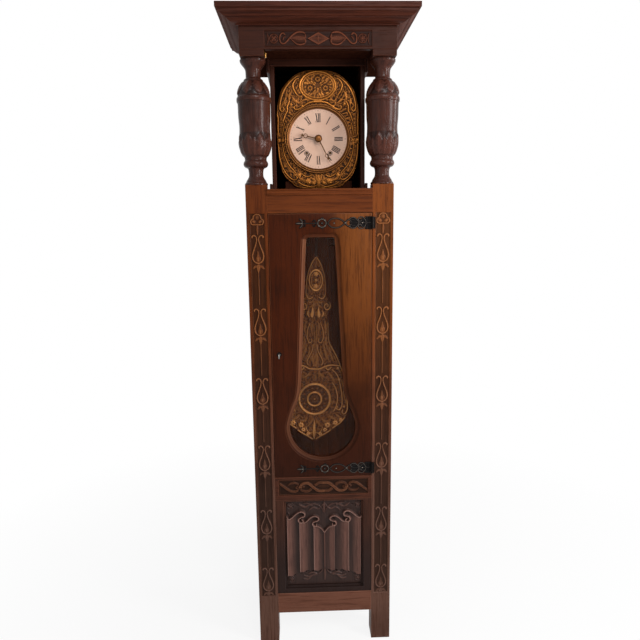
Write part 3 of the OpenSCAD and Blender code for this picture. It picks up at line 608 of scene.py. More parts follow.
    def foliage(self, rng, side, across, up, turn_of, length, top):
        """Small leaves strewn over one half of a ground, each turned as turn_of(x, z) says"""
        places = [
            (side * (x + rng.uniform(-2, 2)), z + rng.uniform(-2, 2)) for x in across for z in up
        ]
        for x, z in places:
            turn = turn_of(x, z) + rng.uniform(-1.1, 1.1)
            size = rng.uniform(0.75, 1.25) * length
            self.leaf(x, z, size, size * rng.uniform(0.2, 0.3), turn, top * rng.uniform(0.7, 1.2))

    def cut(self, x, z, wide, tall, depth):
        """A hollow struck with a punch or gouge"""
        near = self.near(x - wide, x + wide, z - tall, z + tall)
        away = ((self.x[near] - x) / wide) ** 2 + ((self.z[near] - z) / tall) ** 2
        self.height[near] -= depth * np.clip(1 - away, 0, 1) ** 0.7

    def roughen(self, amount, size):
        """Tool marks over everything"""
        x, z = self.x / size, self.z / size
        marks = np.sin(x * 2.1 + 1.7 * np.sin(z * 0.9)) * np.sin(z * 1.7 + 1.3 * np.sin(x * 1.3))
        self.height += amount * marks


def carved_face(name, span, face_y, step, work, bare=None):
    """A fine grid facing the front, raised by the heights that work(x, z) gives over face_y"""
    low_x, high_x, low_z, high_z = span
    mesh, points = fine_grid(
        name, round((high_x - low_x) / step), round((high_z - low_z) / step)
    )
    x = low_x + (points[:, 0] + 1) / 2 * (high_x - low_x)
    z = low_z + (points[:, 1] + 1) / 2 * (high_z - low_z)
    height, crest = work(x, z)
    rim = (np.abs(points[:, 0]) > 0.99999) | (np.abs(points[:, 1]) > 0.99999)
    height = np.where(rim, RIM_SUNK, height)
    return raise_points(mesh, x, face_y - height, z, crest, height, bare)


def raise_points(mesh, x, y, z, crest, height=None, bare=None):
    """Sets a mesh's points in millimetres, writes how high each stands and drops bare faces"""
    mesh.vertices.foreach_set("co", (np.column_stack([x, y, z]) * MM).ravel())
    layer = mesh.attributes.new("crest", "FLOAT", "POINT")
    layer.data.foreach_set("value", np.clip(crest, -1, 1))
    mesh.polygons.foreach_set("use_smooth", np.ones(len(mesh.polygons), bool))
    if bare is not None:
        bm = bmesh.new()
        bm.from_mesh(mesh)
        bm.verts.ensure_lookup_table()
        buried = [f for f in bm.faces if all(height[v.index] <= bare for v in f.verts)]
        bmesh.ops.delete(bm, geom=buried, context="FACES")
        bm.to_mesh(mesh)
        bm.free()
    mesh.update()
    return mesh


# Carved strips of the two front posts

STRIP_WIDTH = 56
STRIP_SUNK = 4
STRIP_FOOT_Z, STRIP_TOP_Z = 208, 1727
STRIP_BORDER_X = 26.5
TULIP_TOPS = (1653, 1385, 1120, 852, 584, 334)
TULIP_TALL = 104
TULIP_STEM = [
    (0, 0, 2.8), (9, 3, 3.0), (16.5, 11, 3.1), (20, 23, 3.1), (18.5, 36, 3.0), (13, 52, 2.7),
    (7.5, 67, 2.5), (4.2, 80, 2.4), (3.8, 89, 2.4), (6.5, 96, 2.6), (12.5, 100, 3.0),
    (19, 97.5, 3.6), (20, 93, 3.4),
]


def post_carving(x, z):
    """Tulips one above another on their stems, with a knot of scrolls at the top"""
    work = Carving(x - (x.min() + x.max()) / 2, z)
    work.both([(STRIP_BORDER_X, z.min(), 1.3), (STRIP_BORDER_X, z.max(), 1.3)], 2.2)
    for top in TULIP_TOPS:
        foot = top - TULIP_TALL
        stem_top = foot - 34
        work.ridge([(0, stem_top + 4, 1.7), (0, stem_top - 40, 2.1), (0, stem_top - 118, 1.8)], 2.8)
        work.dome(0, foot + 15, 10.5, 13, 3.2)
        work.ridge([(0, foot + 12, 7), (0, foot + 28, 5.5), (0, foot + 44, 1.2)], 3.0, groove=0.9)
        for side in (-1, 1):
            work.cut(side * 4.5, foot + 13, 1.5, 7, 0.9)
        work.both([(r[0], foot + r[1], r[2]) for r in TULIP_STEM], 3.7)
        work.both([(3, foot - 11, 4.5), (12, foot - 12, 5), (19, foot - 19, 3.2)], 3.0, groove=0.7)
        work.ridge([(0, foot - 9, 7), (0, foot - 19, 7), (0, foot - 34, 1.2)], 3.4, groove=1.0)
    work.both([
        (0, 1688, 2.4), (8, 1687.5, 2.6), (17, 1688, 2.6), (22.5, 1695, 2.6), (21, 1704, 2.6),
        (14, 1709, 2.6), (13, 1716, 2.5), (8, 1722, 2.5), (0, 1724, 2.6),
    ], 3.5)
    work.dome(0, 1713, 8, 9, 2.7)
    work.both([(10, 1697, 6.5), (13, 1699, 6.5)], 2.9)
    work.ridge([(0, 1688, 2), (0, 1678, 3.4), (0, 1664, 3.6), (0, 1652, 1.6)], 2.9, groove=0.7)
    work.roughen(0.12, 2.2)
    return work.height, (work.height - 1.8) / 1.7


def post_strip(name, middle):
    span = (middle - STRIP_WIDTH / 2, middle + STRIP_WIDTH / 2, STRIP_FOOT_Z, STRIP_TOP_Z)
    mesh = carved_face(name, span, FRONT + STRIP_SUNK - PROUD, 1.3, post_carving)
    piece(name, mesh, "case", "carved")


# Frieze under the crown

FRIEZE_HALF = 182
FRIEZE_LOW_Z, FRIEZE_HIGH_Z = 2277, 2330
FRIEZE_SUNK = 3


def frieze_carving(x, z):
    """A lozenge in the middle, with a heart-shaped leaf, a scroll and a flower each side"""
    work = Carving(x, z - (FRIEZE_LOW_Z + FRIEZE_HIGH_Z) / 2)
    for level in (-24.5, 24.5):
        work.ridge([(-FRIEZE_HALF, level, 1.4), (FRIEZE_HALF, level, 1.4)], 2.0)
    lozenge = np.abs(work.x) / 37 + np.abs(work.z) / 20
    raised = 2.9 - 1.1 * np.clip(1 - lozenge, 0, 1) * 1.6
    work.height = np.where(lozenge < 1, np.maximum(work.height, raised), work.height)
    rim = np.abs(lozenge - 0.93) < 0.07
    work.height = np.where(rim, 3.1, work.height)
    work.ridge([(-24, 0, 1.5), (0, 0, 5), (24, 0, 1.5)], 2.9, groove=0.9)
    work.ridge([(0, -13, 1.2), (0, 0, 4), (0, 13, 1.2)], 2.9, groove=0.7)
    work.both([
        (46, 17, 2.6), (56, 20, 3.2), (72, 19, 3.4), (86, 11, 3.4), (98, 0, 3.3),
        (108, -11, 3.2), (118, -16.5, 3.0), (127, -12, 2.8), (130, 0, 2.7), (127, 12, 2.6),
        (119, 17, 3.0), (113, 13, 3.0),
    ], 3.2)
    work.both([(46, -16, 3.0), (58, -19, 3.2), (72, -17.5, 3.0), (84, -9, 2.2), (94, 0, 1.4)], 3.0)
    work.both([(50, 0, 14), (64, 1, 16), (80, 2, 10), (94, 0, 1.5)], 2.4, full=0.8)
    work.both([(44, 12, 3), (43, 4, 3.4), (47, 0, 3.2), (43, -5, 3.4), (44, -12, 3)], 2.8)
    work.both([(50, 1, 7), (62, 1, 10), (76, 1, 7.5), (90, 1, 1.5)], 3.0, groove=1.1, veins=0.8)
    work.both([(112, 6, 2.4), (117, 2, 3.4), (119, -4, 2.6)], 2.6)
    for side in (-1, 1):
        work.flower(side * 150, 0, 13.5, 4 if side < 0 else 7, 2.9, turn=math.pi / 4)
        work.hoop(side * 150, 0, 14, 14, 1.8, 2.6)
        work.ridge([(side * 172, -17, 1.2), (side * 168, 0, 2.6), (side * 172, 17, 1.2)], 2.4)
    work.roughen(0.12, 2.4)
    return work.height, (work.height - 1.6) / 1.5


def frieze():
    low, _ = box_mm("frieze_front")
    span = (-FRIEZE_HALF, FRIEZE_HALF, FRIEZE_LOW_Z, FRIEZE_HIGH_Z)
    ground_y = low[1] + FRIEZE_SUNK - PROUD
    mesh = carved_face("frieze_carving", span, ground_y, 1.0, frieze_carving)
    piece("frieze_carving", mesh, "case", "carved_across")


# Twisted band between door and linenfold

BAND_HALF = 175
BAND_BEHIND = 6.5
BAND_LOW_Z, BAND_HIGH_Z = 641, 705
BAND_HIGH = [(0, 17, 5.2), (20, 15.5, 5.2), (41, 0, 5.2), (56, -14, 5.2), (70, -17.5, 5.0),
             (84, -13, 4.4), (91, -5, 3.8), (86, 0, 3.0)]
BAND_LOW = [(r[0], -r[1], r[2]) for r in BAND_HIGH]
END_BAND = [(96, 3, 3), (101, 12, 4.2), (114, 18, 5.2), (132, 13, 5.6), (150, -1, 5.4),
            (170, -17, 4.0)]
END_LEAF = [(95, -3, 3), (101, -13, 4.6), (115, -18, 5.4), (130, -15, 4.2), (140, -7, 1.6)]
INNER_PETAL = [(80, 4, 2.2), (76, -2, 3.0), (82, -6, 2.6), (87, -3, 1.6)]
OUTER_PETAL = [(102, -4, 2.4), (108, 1, 3.2), (103, 6, 2.6)]


def turned_about(rows, side):
    """The right end of the band, or the same turned half round for the left end"""
    return [(side * r[0], side * r[1], r[2]) for r in rows]


def guilloche_carving(x, z):
    """Two bands that cross in the middle and end in a scroll and a leaf"""
    work = Carving(x, z - (BAND_LOW_Z + BAND_HIGH_Z) / 2)
    for side in (-1, 1):
        work.ridge([(-BAND_HALF, side * 29.5, 1.6), (BAND_HALF, side * 29.5, 1.6)], 2.4)
        work.ridge([(side * 172, -29, 1.6), (side * 172, 29, 1.6)], 2.4)
    for side in (-1, 1):
        work.ridge(turned_about(END_LEAF, side), 4.2, groove=1.0, veins=1.2)
        work.ridge(turned_about(END_BAND, side), 4.8, groove=1.6, full=0.25)
        for rim in (-2.6, 2.6):
            thin = [(r[0], r[1] + rim * 0.8, 1.1) for r in END_BAND[1:]]
            work.ridge(turned_about(thin, side), 5.2)
    for rows, side, top in (
        (BAND_HIGH, -1, 4.8), (BAND_LOW, 1, 4.8), (BAND_LOW, -1, 5.4), (BAND_HIGH, 1, 5.4),
    ):
        wide = [(side * r[0], r[1], r[2] * 1.2) for r in rows]
        work.ridge(wide, top, groove=1.3, over=True, full=0.25)
    for side in (-1, 1):
        work.dome(side * 94, 0, 5.5, 5.5, 5.4)
        work.ridge(turned_about(INNER_PETAL, side), 4.4)
        work.ridge(turned_about(OUTER_PETAL, side), 4.2)
    work.ridge([(-24, 0, 2.0), (0, 0, 9), (24, 0, 2.0)], 1.2, full=0.8)
    work.roughen(0.14, 2.4)
    crest = np.where(work.height > 3, (work.height - 3.9) / 1.5, work.height / 3 - 1)
    return work.height, crest


def guilloche():
    _, high = box_mm("guilloche_panel")
    span = (-BAND_HALF, BAND_HALF, BAND_LOW_Z, BAND_HIGH_Z)
    ground_y = high[1] - BAND_BEHIND
    mesh = carved_face("guilloche_carving", span, ground_y, 1.0, guilloche_carving)
    piece("guilloche_carving", mesh, "case", "band", ["guilloche_panel"])


# Linenfold panel

PANEL_HALF = 150
PANEL_LOW_Z, PANEL_HIGH_Z = 242, 608
PANEL_GROUND_Y = FRONT + 18
MIDDLE_FOLD_X = 2
CRESTS = (-147, -98, -41, MIDDLE_FOLD_X, 43, 100, 147)
CLOTH_CREST, CLOTH_DROP = 13.0, 8.6
FOLD_TOPS = {
    0: [(-147, 541), (-140, 536), (-128, 541), (-112, 556), (-98, 565), (-84, 563)],
    1: [(-98, 524), (-84, 517), (-70, 524), (-52, 540), (-38, 545), (-24, 540)],
    2: [(-41, 510), (-30, 503), (-18, 498), (-8, 490), (2, 478)],
}
FOLD_BOTTOMS = {
    0: [(-147, 290), (-128, 286), (-110, 296), (-98, 306)],
    1: [(-98, 306), (-84, 303), (-66, 310), (-52, 304), (-41, 312)],
    2: [(-41, 312), (-26, 306), (-10, 312), (2, 320)],
}


def opposite(rows, side):
    """Rows of the left half, or the same mirrored about the middle fold for the right half"""
    return [(r[0] if side < 0 else 2 * MIDDLE_FOLD_X - r[0], *r[1:]) for r in rows]


def mirror_ends(ends):
    """Ends of the three folds on the left, with those on the right drawn from them"""
    return {**ends, **{5 - fold: opposite(ends[fold], 1)[::-1] for fold in ends}}


ROLLED_EDGES = [
    [(-147, 548, 2.2), (-140, 536, 2.2), (-128, 541, 2.4), (-112, 556, 2.6), (-97, 565, 2.8),
     (-83, 565, 3.0), (-75, 556, 3.0), (-78, 546, 2.8), (-86, 544, 2.6)],
    [(-86, 544, 2.6), (-95, 540, 2.6), (-101, 532, 2.6), (-98, 523, 2.6), (-89, 519, 2.6),
     (-82, 526, 2.4), (-87, 533, 2.4)],
    [(-84, 519, 2.2), (-70, 524, 2.4), (-54, 539, 2.5), (-40, 546, 2.8), (-26, 543, 2.8),
     (-20, 534, 2.8), (-26, 526, 2.6), (-33, 524, 2.4)],
    [(-33, 524, 2.4), (-42, 520, 2.4), (-45, 511, 2.4), (-38, 504, 2.4), (-30, 506, 2.2),
     (-30, 513, 2.0)],
    [(-33, 504, 2.2), (-20, 500, 2.2), (-9, 491, 2.2), (2, 476, 2.0)],
]
SPRAYS = [
    [(-143, 541, 2.2), (-137, 551, 2.6), (-141, 560, 2.2)],
    [(-4, 592, 2.6), (-10, 582, 3.0), (-24, 574, 3.2), (-40, 580, 3.4), (-52, 575, 3.6),
     (-60, 566, 2.4)],
    [(-2, 560, 1.6), (-8, 576, 2.2), (-22, 590, 3.0), (-44, 596, 3.4), (-64, 588, 3.8),
     (-78, 580, 2.0)],
    [(-46, 588, 2.8), (-62, 598, 3.8), (-80, 600, 2.2)],
    [(-68, 583, 3.0), (-84, 586, 4.6), (-98, 596, 2.0)],
    [(-3, 318, 2.0), (-12, 300, 2.6), (-28, 288, 3.2), (-46, 285, 3.6), (-64, 278, 3.8),
     (-82, 284, 2.0)],
    [(-30, 290, 3.0), (-48, 296, 4.2), (-66, 290, 2.2)],
    [(-50, 283, 3.0), (-66, 268, 4.0), (-84, 270, 2.0)],
]
PUNCHED = [(-120, 288), (-92, 294), (-74, 300), (-46, 304), (-18, 305), (-121, 583), (-108, 590)]


def linenfold_carving(x, z):
    """Six folds of cloth with rolled upper edges, and sprays of leaves above and below"""
    work = Carving(x, z)
    folded = np.zeros(x.shape, bool)
    tops, feet = mirror_ends(FOLD_TOPS), mirror_ends(FOLD_BOTTOMS)
    for fold in range(6):
        start, end = CRESTS[fold], CRESTS[fold + 1]
        across = np.clip((x - start) / (end - start), 0, 1)
        if fold >= 3:
            across = 1 - across
        cloth = CLOTH_CREST - CLOTH_DROP * np.sin(across * math.pi / 2) ** 0.8
        cloth = cloth + 1.3 * np.exp(-(across / 0.05) ** 2)
        top_line, foot_line = curve(tops[fold]), curve(feet[fold])
        top = np.interp(x, top_line[:, 0], top_line[:, 1])
        foot = np.interp(x, foot_line[:, 0], foot_line[:, 1])
        inside = (x >= start) & (x < end) & (z < top) & (z > foot)
        work.height = np.where(inside, cloth, work.height)
        folded |= inside
    for side in (-1, 1):
        for rows in ROLLED_EDGES:
            wide = [(r[0], r[1], r[2] * 1.4) for r in opposite(rows, side)]
            work.ridge(wide, CLOTH_CREST, base=8)
        for rows in SPRAYS:
            work.ridge(opposite(rows, side), 5.2, groove=1.1, veins=1.0)
        for level in (588, 268):
            spot = opposite([(-133, level)], side)[0]
            work.flower(*spot, 11, 5, 4.8)
            work.hoop(*spot, 13, 13, 1.8, 3.2)
        for spot in opposite(PUNCHED, side):
            work.cut(*spot, 4, 4, 5)
    work.ridge([(2, 474, 2.2), (2, 400, 2.0), (2, 324, 1.8)], 10.5, base=5.5)
    work.ridge([(2, 604, 2.4), (2, 588, 5.4), (2, 570, 4.0), (2, 556, 1.2)], 6.0, groove=1.2)
    work.ridge([(2, 322, 1.4), (2, 306, 3.6), (2, 286, 4.6), (2, 262, 1.6)], 5.6, groove=1.2)
    work.roughen(0.12, 3.1)
    # Crest values: the fold crests take wear and a painted highlight, the deep troughs of the folds
    # dirt and painted shade, the rolled edges a narrow painted highlight on top with painted shade
    # at their sides, and the sunk ground and low carving dirt and painted shade
    cloth_wear_and_painted_light = np.where(
        work.height > 12.2, (work.height - 12.0) / 1.4, np.minimum((work.height - 9.5) / 5.5, 0)
    )
    rolled = np.clip((work.height - 12.4) / 0.8, -0.6, 0.6)
    plain = np.where(work.height > 8, rolled, work.height / 12 - 0.95)
    return work.height, np.where(folded & (work.height < 13.2), cloth_wear_and_painted_light, plain)


def linenfold():
    span = (-PANEL_HALF, PANEL_HALF, PANEL_LOW_Z, PANEL_HIGH_Z)
    mesh = carved_face("linenfold_carving", span, PANEL_GROUND_Y, 1.2, linenfold_carving)
    piece("linenfold_carving", mesh, "case", "folds", ["linenfold_panel"])


# Turned columns

COLUMN_FOOT_Z = 1827
COLUMN_Y = FRONT + 37
CUP_FOOT, CUP_TOP = 98, 182
SHOULDER_FOOT, SHOULDER_TOP = 300, 352
LEAVES_ROUND = 8
# Height over the column's foot, and radius there
COLUMN_PROFILE = [
    (0, 42), (5, 42), (10, 38), (16, 35.5), (23, 31), (32, 27), (48, 27), (58, 30),
    (62, 38), (67, 43), (74, 45), (81, 43), (86, 40), (94, 40), (101, 43), (114, 49.5),
    (128, 54), (142, 56.5), (165, 56.5), (200, 55), (232, 57.5), (278, 58.5), (283, 61),
    (290, 62), (297, 61), (302, 58), (316, 56), (330, 51), (341, 44), (350, 37),
    (358, 34), (362, 28), (375, 27), (389, 28), (397, 31.5), (406, 38.5), (412, 43),
    (417, 45.5), (422, 46),
]


def cup_leaf(around, up, tall, depth):
    """Pointed leaves side by side round a turning, each with a rib and a cut between"""
    leaf = (around * LEAVES_ROUND / math.tau) % 1 - 0.5
    spread = np.abs(leaf) * 2
    tip = 1 - spread ** 1.6 * 0.55
    rise = up / tall
    inside = np.clip((tip - rise) * 9, 0, 1) * np.clip(rise * 12, 0, 1)
    body = depth * inside * (1 - 0.75 * spread ** 2.2)
    rib = 0.45 * depth * np.exp(-(leaf / 0.05) ** 2) * inside
    veins = 0.6 * depth * inside * np.clip(np.sin(rise * 26 - spread * 9), 0, 1) * spread
    return body + rib - veins


def column_carving(around, up):
    """How far the leaves on a column stand out from its turned surface, in millimetres"""
    cup = cup_leaf(around, up - CUP_FOOT, 78, 3.8)
    small = cup_leaf(around + math.pi / LEAVES_ROUND, up - CUP_FOOT, 60, 3.4)
    shoulder = cup_leaf(around, SHOULDER_TOP - up, 50, 4.4) * (up > SHOULDER_FOOT)
    return np.maximum(cup, small) * (up < CUP_TOP) + shoulder


def between(values, low, high):
    return (values > low) & (values < high)


def column(node, middle_x):
    profile = curve([(radius, up, 0) for up, radius in COLUMN_PROFILE], 6)
    name = node + "_turned"
    mesh = into_mesh(turned([(radius, up) for radius, up, _ in profile], 160), name)
    x, y, up = (points_of(mesh) / MM).T
    around = np.arctan2(y, x)
    proud = column_carving(around, up)
    leaves = between(up, CUP_FOOT, 178) | between(up, 303, SHOULDER_TOP)
    rings = between(up, 284, 297) | between(up, 67, 81)
    crest = np.where(leaves, proud / 2.6 - 0.7, 0.0) + np.where(rings, 0.5, 0.0)
    radius = np.hypot(x, y) + proud * 0.7 - 0.9
    raise_points(
        mesh, middle_x + radius * np.cos(around), COLUMN_Y + radius * np.sin(around),
        COLUMN_FOOT_Z + up, crest,
    )
    piece(name, mesh, "case", "column", [node])


# Crown moulding

CROWN_Z = 2343
CROWN_HALF = 267.5
CROWN_FRONT = FRONT - 22
CROWN_BACK = 218
NARROW = 0.0013  # faces smaller than this, in square metres, lie on an edge that is rubbed
CROWN_PROFILE = (
    [(0, 0), (8, 0), (8, 4)]
    + [(10 + 24 * t, 4 + 9 * t * t) for t in np.linspace(0, 1, 9)]
    + [(36, 14), (38, 14), (38, 17)]
    + [(40 + 20 * t, 17 + 5 * (1 - math.cos(math.pi * t))) for t in np.linspace(0, 1, 13)]
    + [(62, 27), (62, 34), (65, 35.5), (67, 36), (68, 37), (68, 52), (67, 53), (0, 53)]
)


def crown_length(node, finish, ends):
    """One length of crown between two places in plan, mitred where it turns"""
    bm = bmesh.new()
    rings = []
    for (corner_x, corner_y), (step_x, step_y) in ends:
        ring = [
            bm.verts.new((
                (corner_x + out * step_x) * MM, (corner_y + out * step_y) * MM, (CROWN_Z + up) * MM
            ))
            for out, up in CROWN_PROFILE
        ]
        rings.append(joined_ring(bm, ring))
        bm.faces.new(ring)
    bmesh.ops.bridge_loops(bm, edges=rings[0] + rings[1])
    outward(bm)
    crest = bm.faces.layers.float.new("crest")
    for face in bm.faces:
        if face.calc_area() < NARROW:
            face[crest] = 0.45
    piece(node + "_run", into_mesh(bm, node + "_run", 25), "case", finish, [node])


def crown():
    left_back = ((-CROWN_HALF, CROWN_BACK), (-1, 0))
    left_front = ((-CROWN_HALF, CROWN_FRONT), (-1, -1))
    right_front = ((CROWN_HALF, CROWN_FRONT), (1, -1))
    right_back = ((CROWN_HALF, CROWN_BACK), (1, 0))
    crown_length("crown_front", "crown", (left_front, right_front))
    crown_length("crown_left", "crown_side", (left_back, left_front))
    crown_length("crown_right", "crown_side", (right_front, right_back))


# Pressed brass round the dial

SURROUND_EDGE = [
    (0, 2239), (40, 2238), (76, 2226), (104, 2205), (125, 2182), (138, 2158), (150, 2104),
    (153, 2040), (152, 1985), (146, 1916), (129, 1867), (102, 1840), (74, 1822), (0, 1816),
]
DIAL_OPENING = 111.5
SURROUND_BACK_Y = -8
CREST_OVAL = (64, 49)
CREST_OVAL_Z = 2183
SURROUND_FLOWERS = [
    (146, 1993, 9, 8), (130.5, 1993, 7.5, 6), (40, 1845, 13, 7), (72, 1868, 9, 6),
    (20, 1838, 8, 6), (56, 2112, 6, 5), (108, 2200, 7, 5), (98, 2118, 7, 6),
]


def surround_reach(angle):
    """How far the edge of the surround lies from the middle of the dial"""
    half = curve([(x, z, 0) for x, z in SURROUND_EDGE])
    turns = np.arctan2(half[:, 0], half[:, 1] - DIAL_Z)
    away = np.hypot(half[:, 0], half[:, 1] - DIAL_Z)
    return np.interp(np.abs(angle), turns, away)


SURROUND_SCROLLS = [
    [(74, 2218, 2.5), (100, 2198, 4), (121, 2173, 4.6), (136, 2138, 4.6), (140, 2106, 4),
     (132, 2094, 3.6), (124, 2101, 3), (128, 2109, 2.4)],
    [(74, 2150, 3), (86, 2168, 4), (90, 2188, 4), (80, 2204, 3.4), (70, 2208, 2.4)],
    [(0, 2127, 4), (16, 2127, 4), (34, 2123, 4), (52, 2112, 4), (68, 2102, 4.4),
     (82, 2101, 3.6), (88, 2109, 3), (81, 2114, 2.4)],
    [(104, 2128, 3), (112, 2112, 4), (112, 2096, 3.6), (120, 2082, 3.4), (128, 2060, 3.2)],
    [(149, 2092, 2.6), (147, 2060, 3.2), (148, 2030, 3.2), (144, 2008, 2.6)],
    [(123, 2052, 2.6), (128, 2030, 2.8), (132, 2010, 2.4)],
    [(132, 1976, 2.4), (128, 1950, 2.8), (120, 1926, 3), (108, 1902, 3), (92, 1884, 3),
     (84, 1874, 2.4)],
    [(147, 1978, 2.6), (146, 1946, 3.2), (140, 1912, 3.4), (126, 1880, 3.4), (106, 1857, 3.4),
     (90, 1850, 3), (80, 1858, 2.4), (86, 1866, 2)],
    [(76, 1842, 2.4), (62, 1833, 3.2), (44, 1827, 3.4), (26, 1824, 3), (14, 1828, 2.4)],
    [(64, 1874, 2.4), (52, 1864, 3.2), (38, 1862, 3.2), (26, 1868, 2.4)],
]
SURROUND_LEAVES = [
    [(66, 2222, 2), (88, 2202, 4.5), (94, 2182, 2)],
    [(96, 2164, 2), (104, 2148, 5.5), (104, 2130, 2)],
    [(92, 2142, 2), (82, 2130, 5), (70, 2122, 1.6)],
    [(118, 2140, 2), (122, 2126, 4.6), (118, 2112, 1.6)],
    [(60, 2128, 1.6), (50, 2134, 4.2), (38, 2134, 1.6)],
    [(146, 2122, 1.6), (149, 2110, 3.6), (146, 2096, 1.4)],
    [(116, 2124, 1.6), (130, 2118, 3.6), (140, 2092, 1.2)],
    [(76, 1862, 1.6), (64, 1852, 5), (48, 1848, 1.6)],
    [(96, 1880, 1.6), (84, 1866, 5), (70, 1860, 1.6)],
    [(30, 1858, 1.6), (18, 1850, 5.2), (10, 1840, 1.6)],
    [(10, 1874, 1.6), (9, 1858, 4.6), (4, 1842, 1.4)],
    [(122, 1902, 1.6), (132, 1898, 4.2), (136, 1886, 1.4)],
]
BEADS = [(2092, 13, 7.2, 133, 0, 3.3), (1966, 12, 7.4, 133.5, 0.0035, 3.2)]


def bead_rows(work, side, top_z, rows, pitch, inner_x, lean, size):
    """Staggered beads, three to a row, down one side; lean draws the low rows inwards"""
    for row in range(rows):
        level = top_z - row * pitch
        row_x = inner_x - lean * (1985 - level) ** 2 + 1.3 * (row % 2)
        for step in range(3):
            work.dome(side * (row_x + 5.5 * step), level, size, size + 0.6, size - 1.6)


def surround_carving(x, z):
    """Scrolls, flowers and beads on a leafy ground, with an oval of leaves and three roses"""
    work = Carving(x, z)
    rng = np.random.default_rng(5)
    for side in (-1, 1):
        for beads in BEADS:
            bead_rows(work, side, *beads)
        work.foliage(
            rng, side, np.arange(3, 150, 6.4), np.arange(1820, 2236, 6.4),
            lambda x, z: math.atan2(x, z - DIAL_Z), 11, 2.3,
        )
        for rows in SURROUND_LEAVES:
            work.ridge(on_side(rows, side), 2.9, groove=0.8, veins=0.9)
        for rows in SURROUND_SCROLLS:
            work.ridge(on_side(rows, side), 3.4, over=True)
        for flower_x, flower_z, radius, petals in SURROUND_FLOWERS:
            work.flower(side * flower_x, flower_z, radius, petals, 4.0, base=0.6)
    wide, tall = CREST_OVAL
    oval = (work.x / wide) ** 2 + ((work.z - CREST_OVAL_Z) / tall) ** 2
    work.height = np.where(oval < 1.16, 0.9, work.height)
    work.hoop(0, CREST_OVAL_Z, wide + 1, tall + 1, 3.4, 4.0)
    work.hoop(0, CREST_OVAL_Z, wide - 7, tall - 7, 2.2, 3.0)
    for turn in np.linspace(0, math.tau, 28, endpoint=False):
        bead_z = CREST_OVAL_Z + (tall - 3) * math.cos(turn)
        work.dome((wide - 3) * math.sin(turn), bead_z, 2.0, 2.0, 2.0)
    for ring, count, size in ((0.92, 26, 13), (0.7, 20, 14), (0.45, 14, 14), (0.2, 8, 12)):
        for turn in np.linspace(0, math.tau, count, endpoint=False) + rng.uniform(0, 1):
            foot_x, foot_z = 52 * ring * math.sin(turn), 37 * ring * math.cos(turn)
            work.leaf(
                foot_x * 0.86, CREST_OVAL_Z + foot_z * 0.86, size, 3.4,
                turn + rng.uniform(-0.5, 0.5), rng.uniform(2.2, 3.2), base=0.9,
            )
    for flower_x, flower_z in ((0, 2206), (-28, 2174), (28, 2174)):
        work.height[np.hypot(work.x - flower_x, work.z - flower_z) < 14.5] = 0.2
        work.flower(flower_x, flower_z, 13, 9, 2.7, base=0.4)
        work.hoop(flower_x, flower_z, 6.4, 6.4, 1.4, 2.3)
        work.cut(flower_x, flower_z, 4.6, 4.6, 2.4)
    shell = [(0, 1868, 1.6), (0, 1852, 6), (0, 1834, 7), (0, 1820, 2)]
    work.ridge(shell, 3.6, groove=1.2, veins=1.0)
    work.roughen(0.1, 1.9)
    return work.height


def dial_surround():
    mesh, points = fine_grid("surround_pressed", 660, 84)
    turn = points[:, 0] * math.pi
    share = (points[:, 1] + 1) / 2
    edge = surround_reach(turn)
    away = DIAL_OPENING + (edge - DIAL_OPENING) * share
    x, z = away * np.sin(turn), DIAL_Z + away * np.cos(turn)
    inset = edge - away
    swell = 3.4 + 9.4 * (1 - np.exp(-inset / 13))
    swell += 1.6 * np.exp(-((inset - 2.4) / 1.7) ** 2)
    relief = surround_carving(x, z) * np.clip(inset / 3.5, 0.1, 1)
    height = np.where(share > 0.9999, 0, np.where(share < 0.0001, 8, swell + relief))
    crest = np.where(inset < 4.5, 0.3, relief / 2.1 - 0.85)
    mesh = raise_points(mesh, x, SURROUND_BACK_Y - height, z, crest)
    bm = bmesh.new()
    bm.from_mesh(mesh)
    bmesh.ops.remove_doubles(bm, verts=bm.verts, dist=CLOSE)
    bm.to_mesh(mesh)
    bm.free()
    piece("surround_pressed", mesh, "case", "pressed", ["dial_surround"])


# Dial: painted numerals and minute marks, winding holes, bezel and the boss of the hands

ENAMEL_FRONT = FRONT + 99.5
NUMERALS = ("I", "II", "III", "IIII", "V", "VI", "VII", "VIII", "IX", "X", "XI", "XII")
NUMERAL_FOOT, NUMERAL_HEAD = 60.0, 90.0
HOUR_MARK_FOOT, MINUTE_MARK_FOOT, MARK_HEAD = 97.4, 98.6, 101.6
HALF_SERIF = 2.3
STEM, THICK, THIN, HAIRLINE = 3.1, 3.2, 0.9, 0.7
SIGN_WIDTHS = {"I": 5.0, "V": 9.4, "X": 9.4}
PAINT = 0.12


def stroke(bm, start, end, width, turn=0.0):
    """A painted stroke between two places, each x and height, on a dial turned by an angle"""
    run = Vector((end[0] - start[0], 0, end[1] - start[1]))
    middle = Vector(((start[0] + end[0]) / 2, 0, (start[1] + end[1]) / 2))
    lean = math.atan2(run.x, run.z)
    place = (
        Matrix.Rotation(turn, 4, "Y") @ Matrix.Translation(middle)
        @ Matrix.Rotation(lean, 4, "Y") @ Matrix.Diagonal((width, PAINT, run.length, 1))
    )
    bmesh.ops.create_cube(bm, size=1, matrix=place)


def sign(bm, shape, place, turn):
    """One I, V or X of a numeral, with hairline serifs, its middle at a place across"""
    foot, head, lean = NUMERAL_FOOT, NUMERAL_HEAD, 2.9
    if shape == "I":
        stroke(bm, (place, foot), (place, head), STEM, turn)
    elif shape == "V":
        stroke(bm, (place, foot), (place - lean, head), THICK, turn)
        stroke(bm, (place, foot), (place + lean, head), THIN, turn)
    else:
        stroke(bm, (place + lean, foot), (place - lean, head), THICK, turn)
        stroke(bm, (place - lean, foot), (place + lean, head), THIN, turn)
    ends = [place] if shape == "I" else [place - lean, place + lean]
    for level in [head] if shape == "V" else [head, foot]:
        for end in ends:
            stroke(bm, (end - HALF_SERIF, level), (end + HALF_SERIF, level), HAIRLINE, turn)


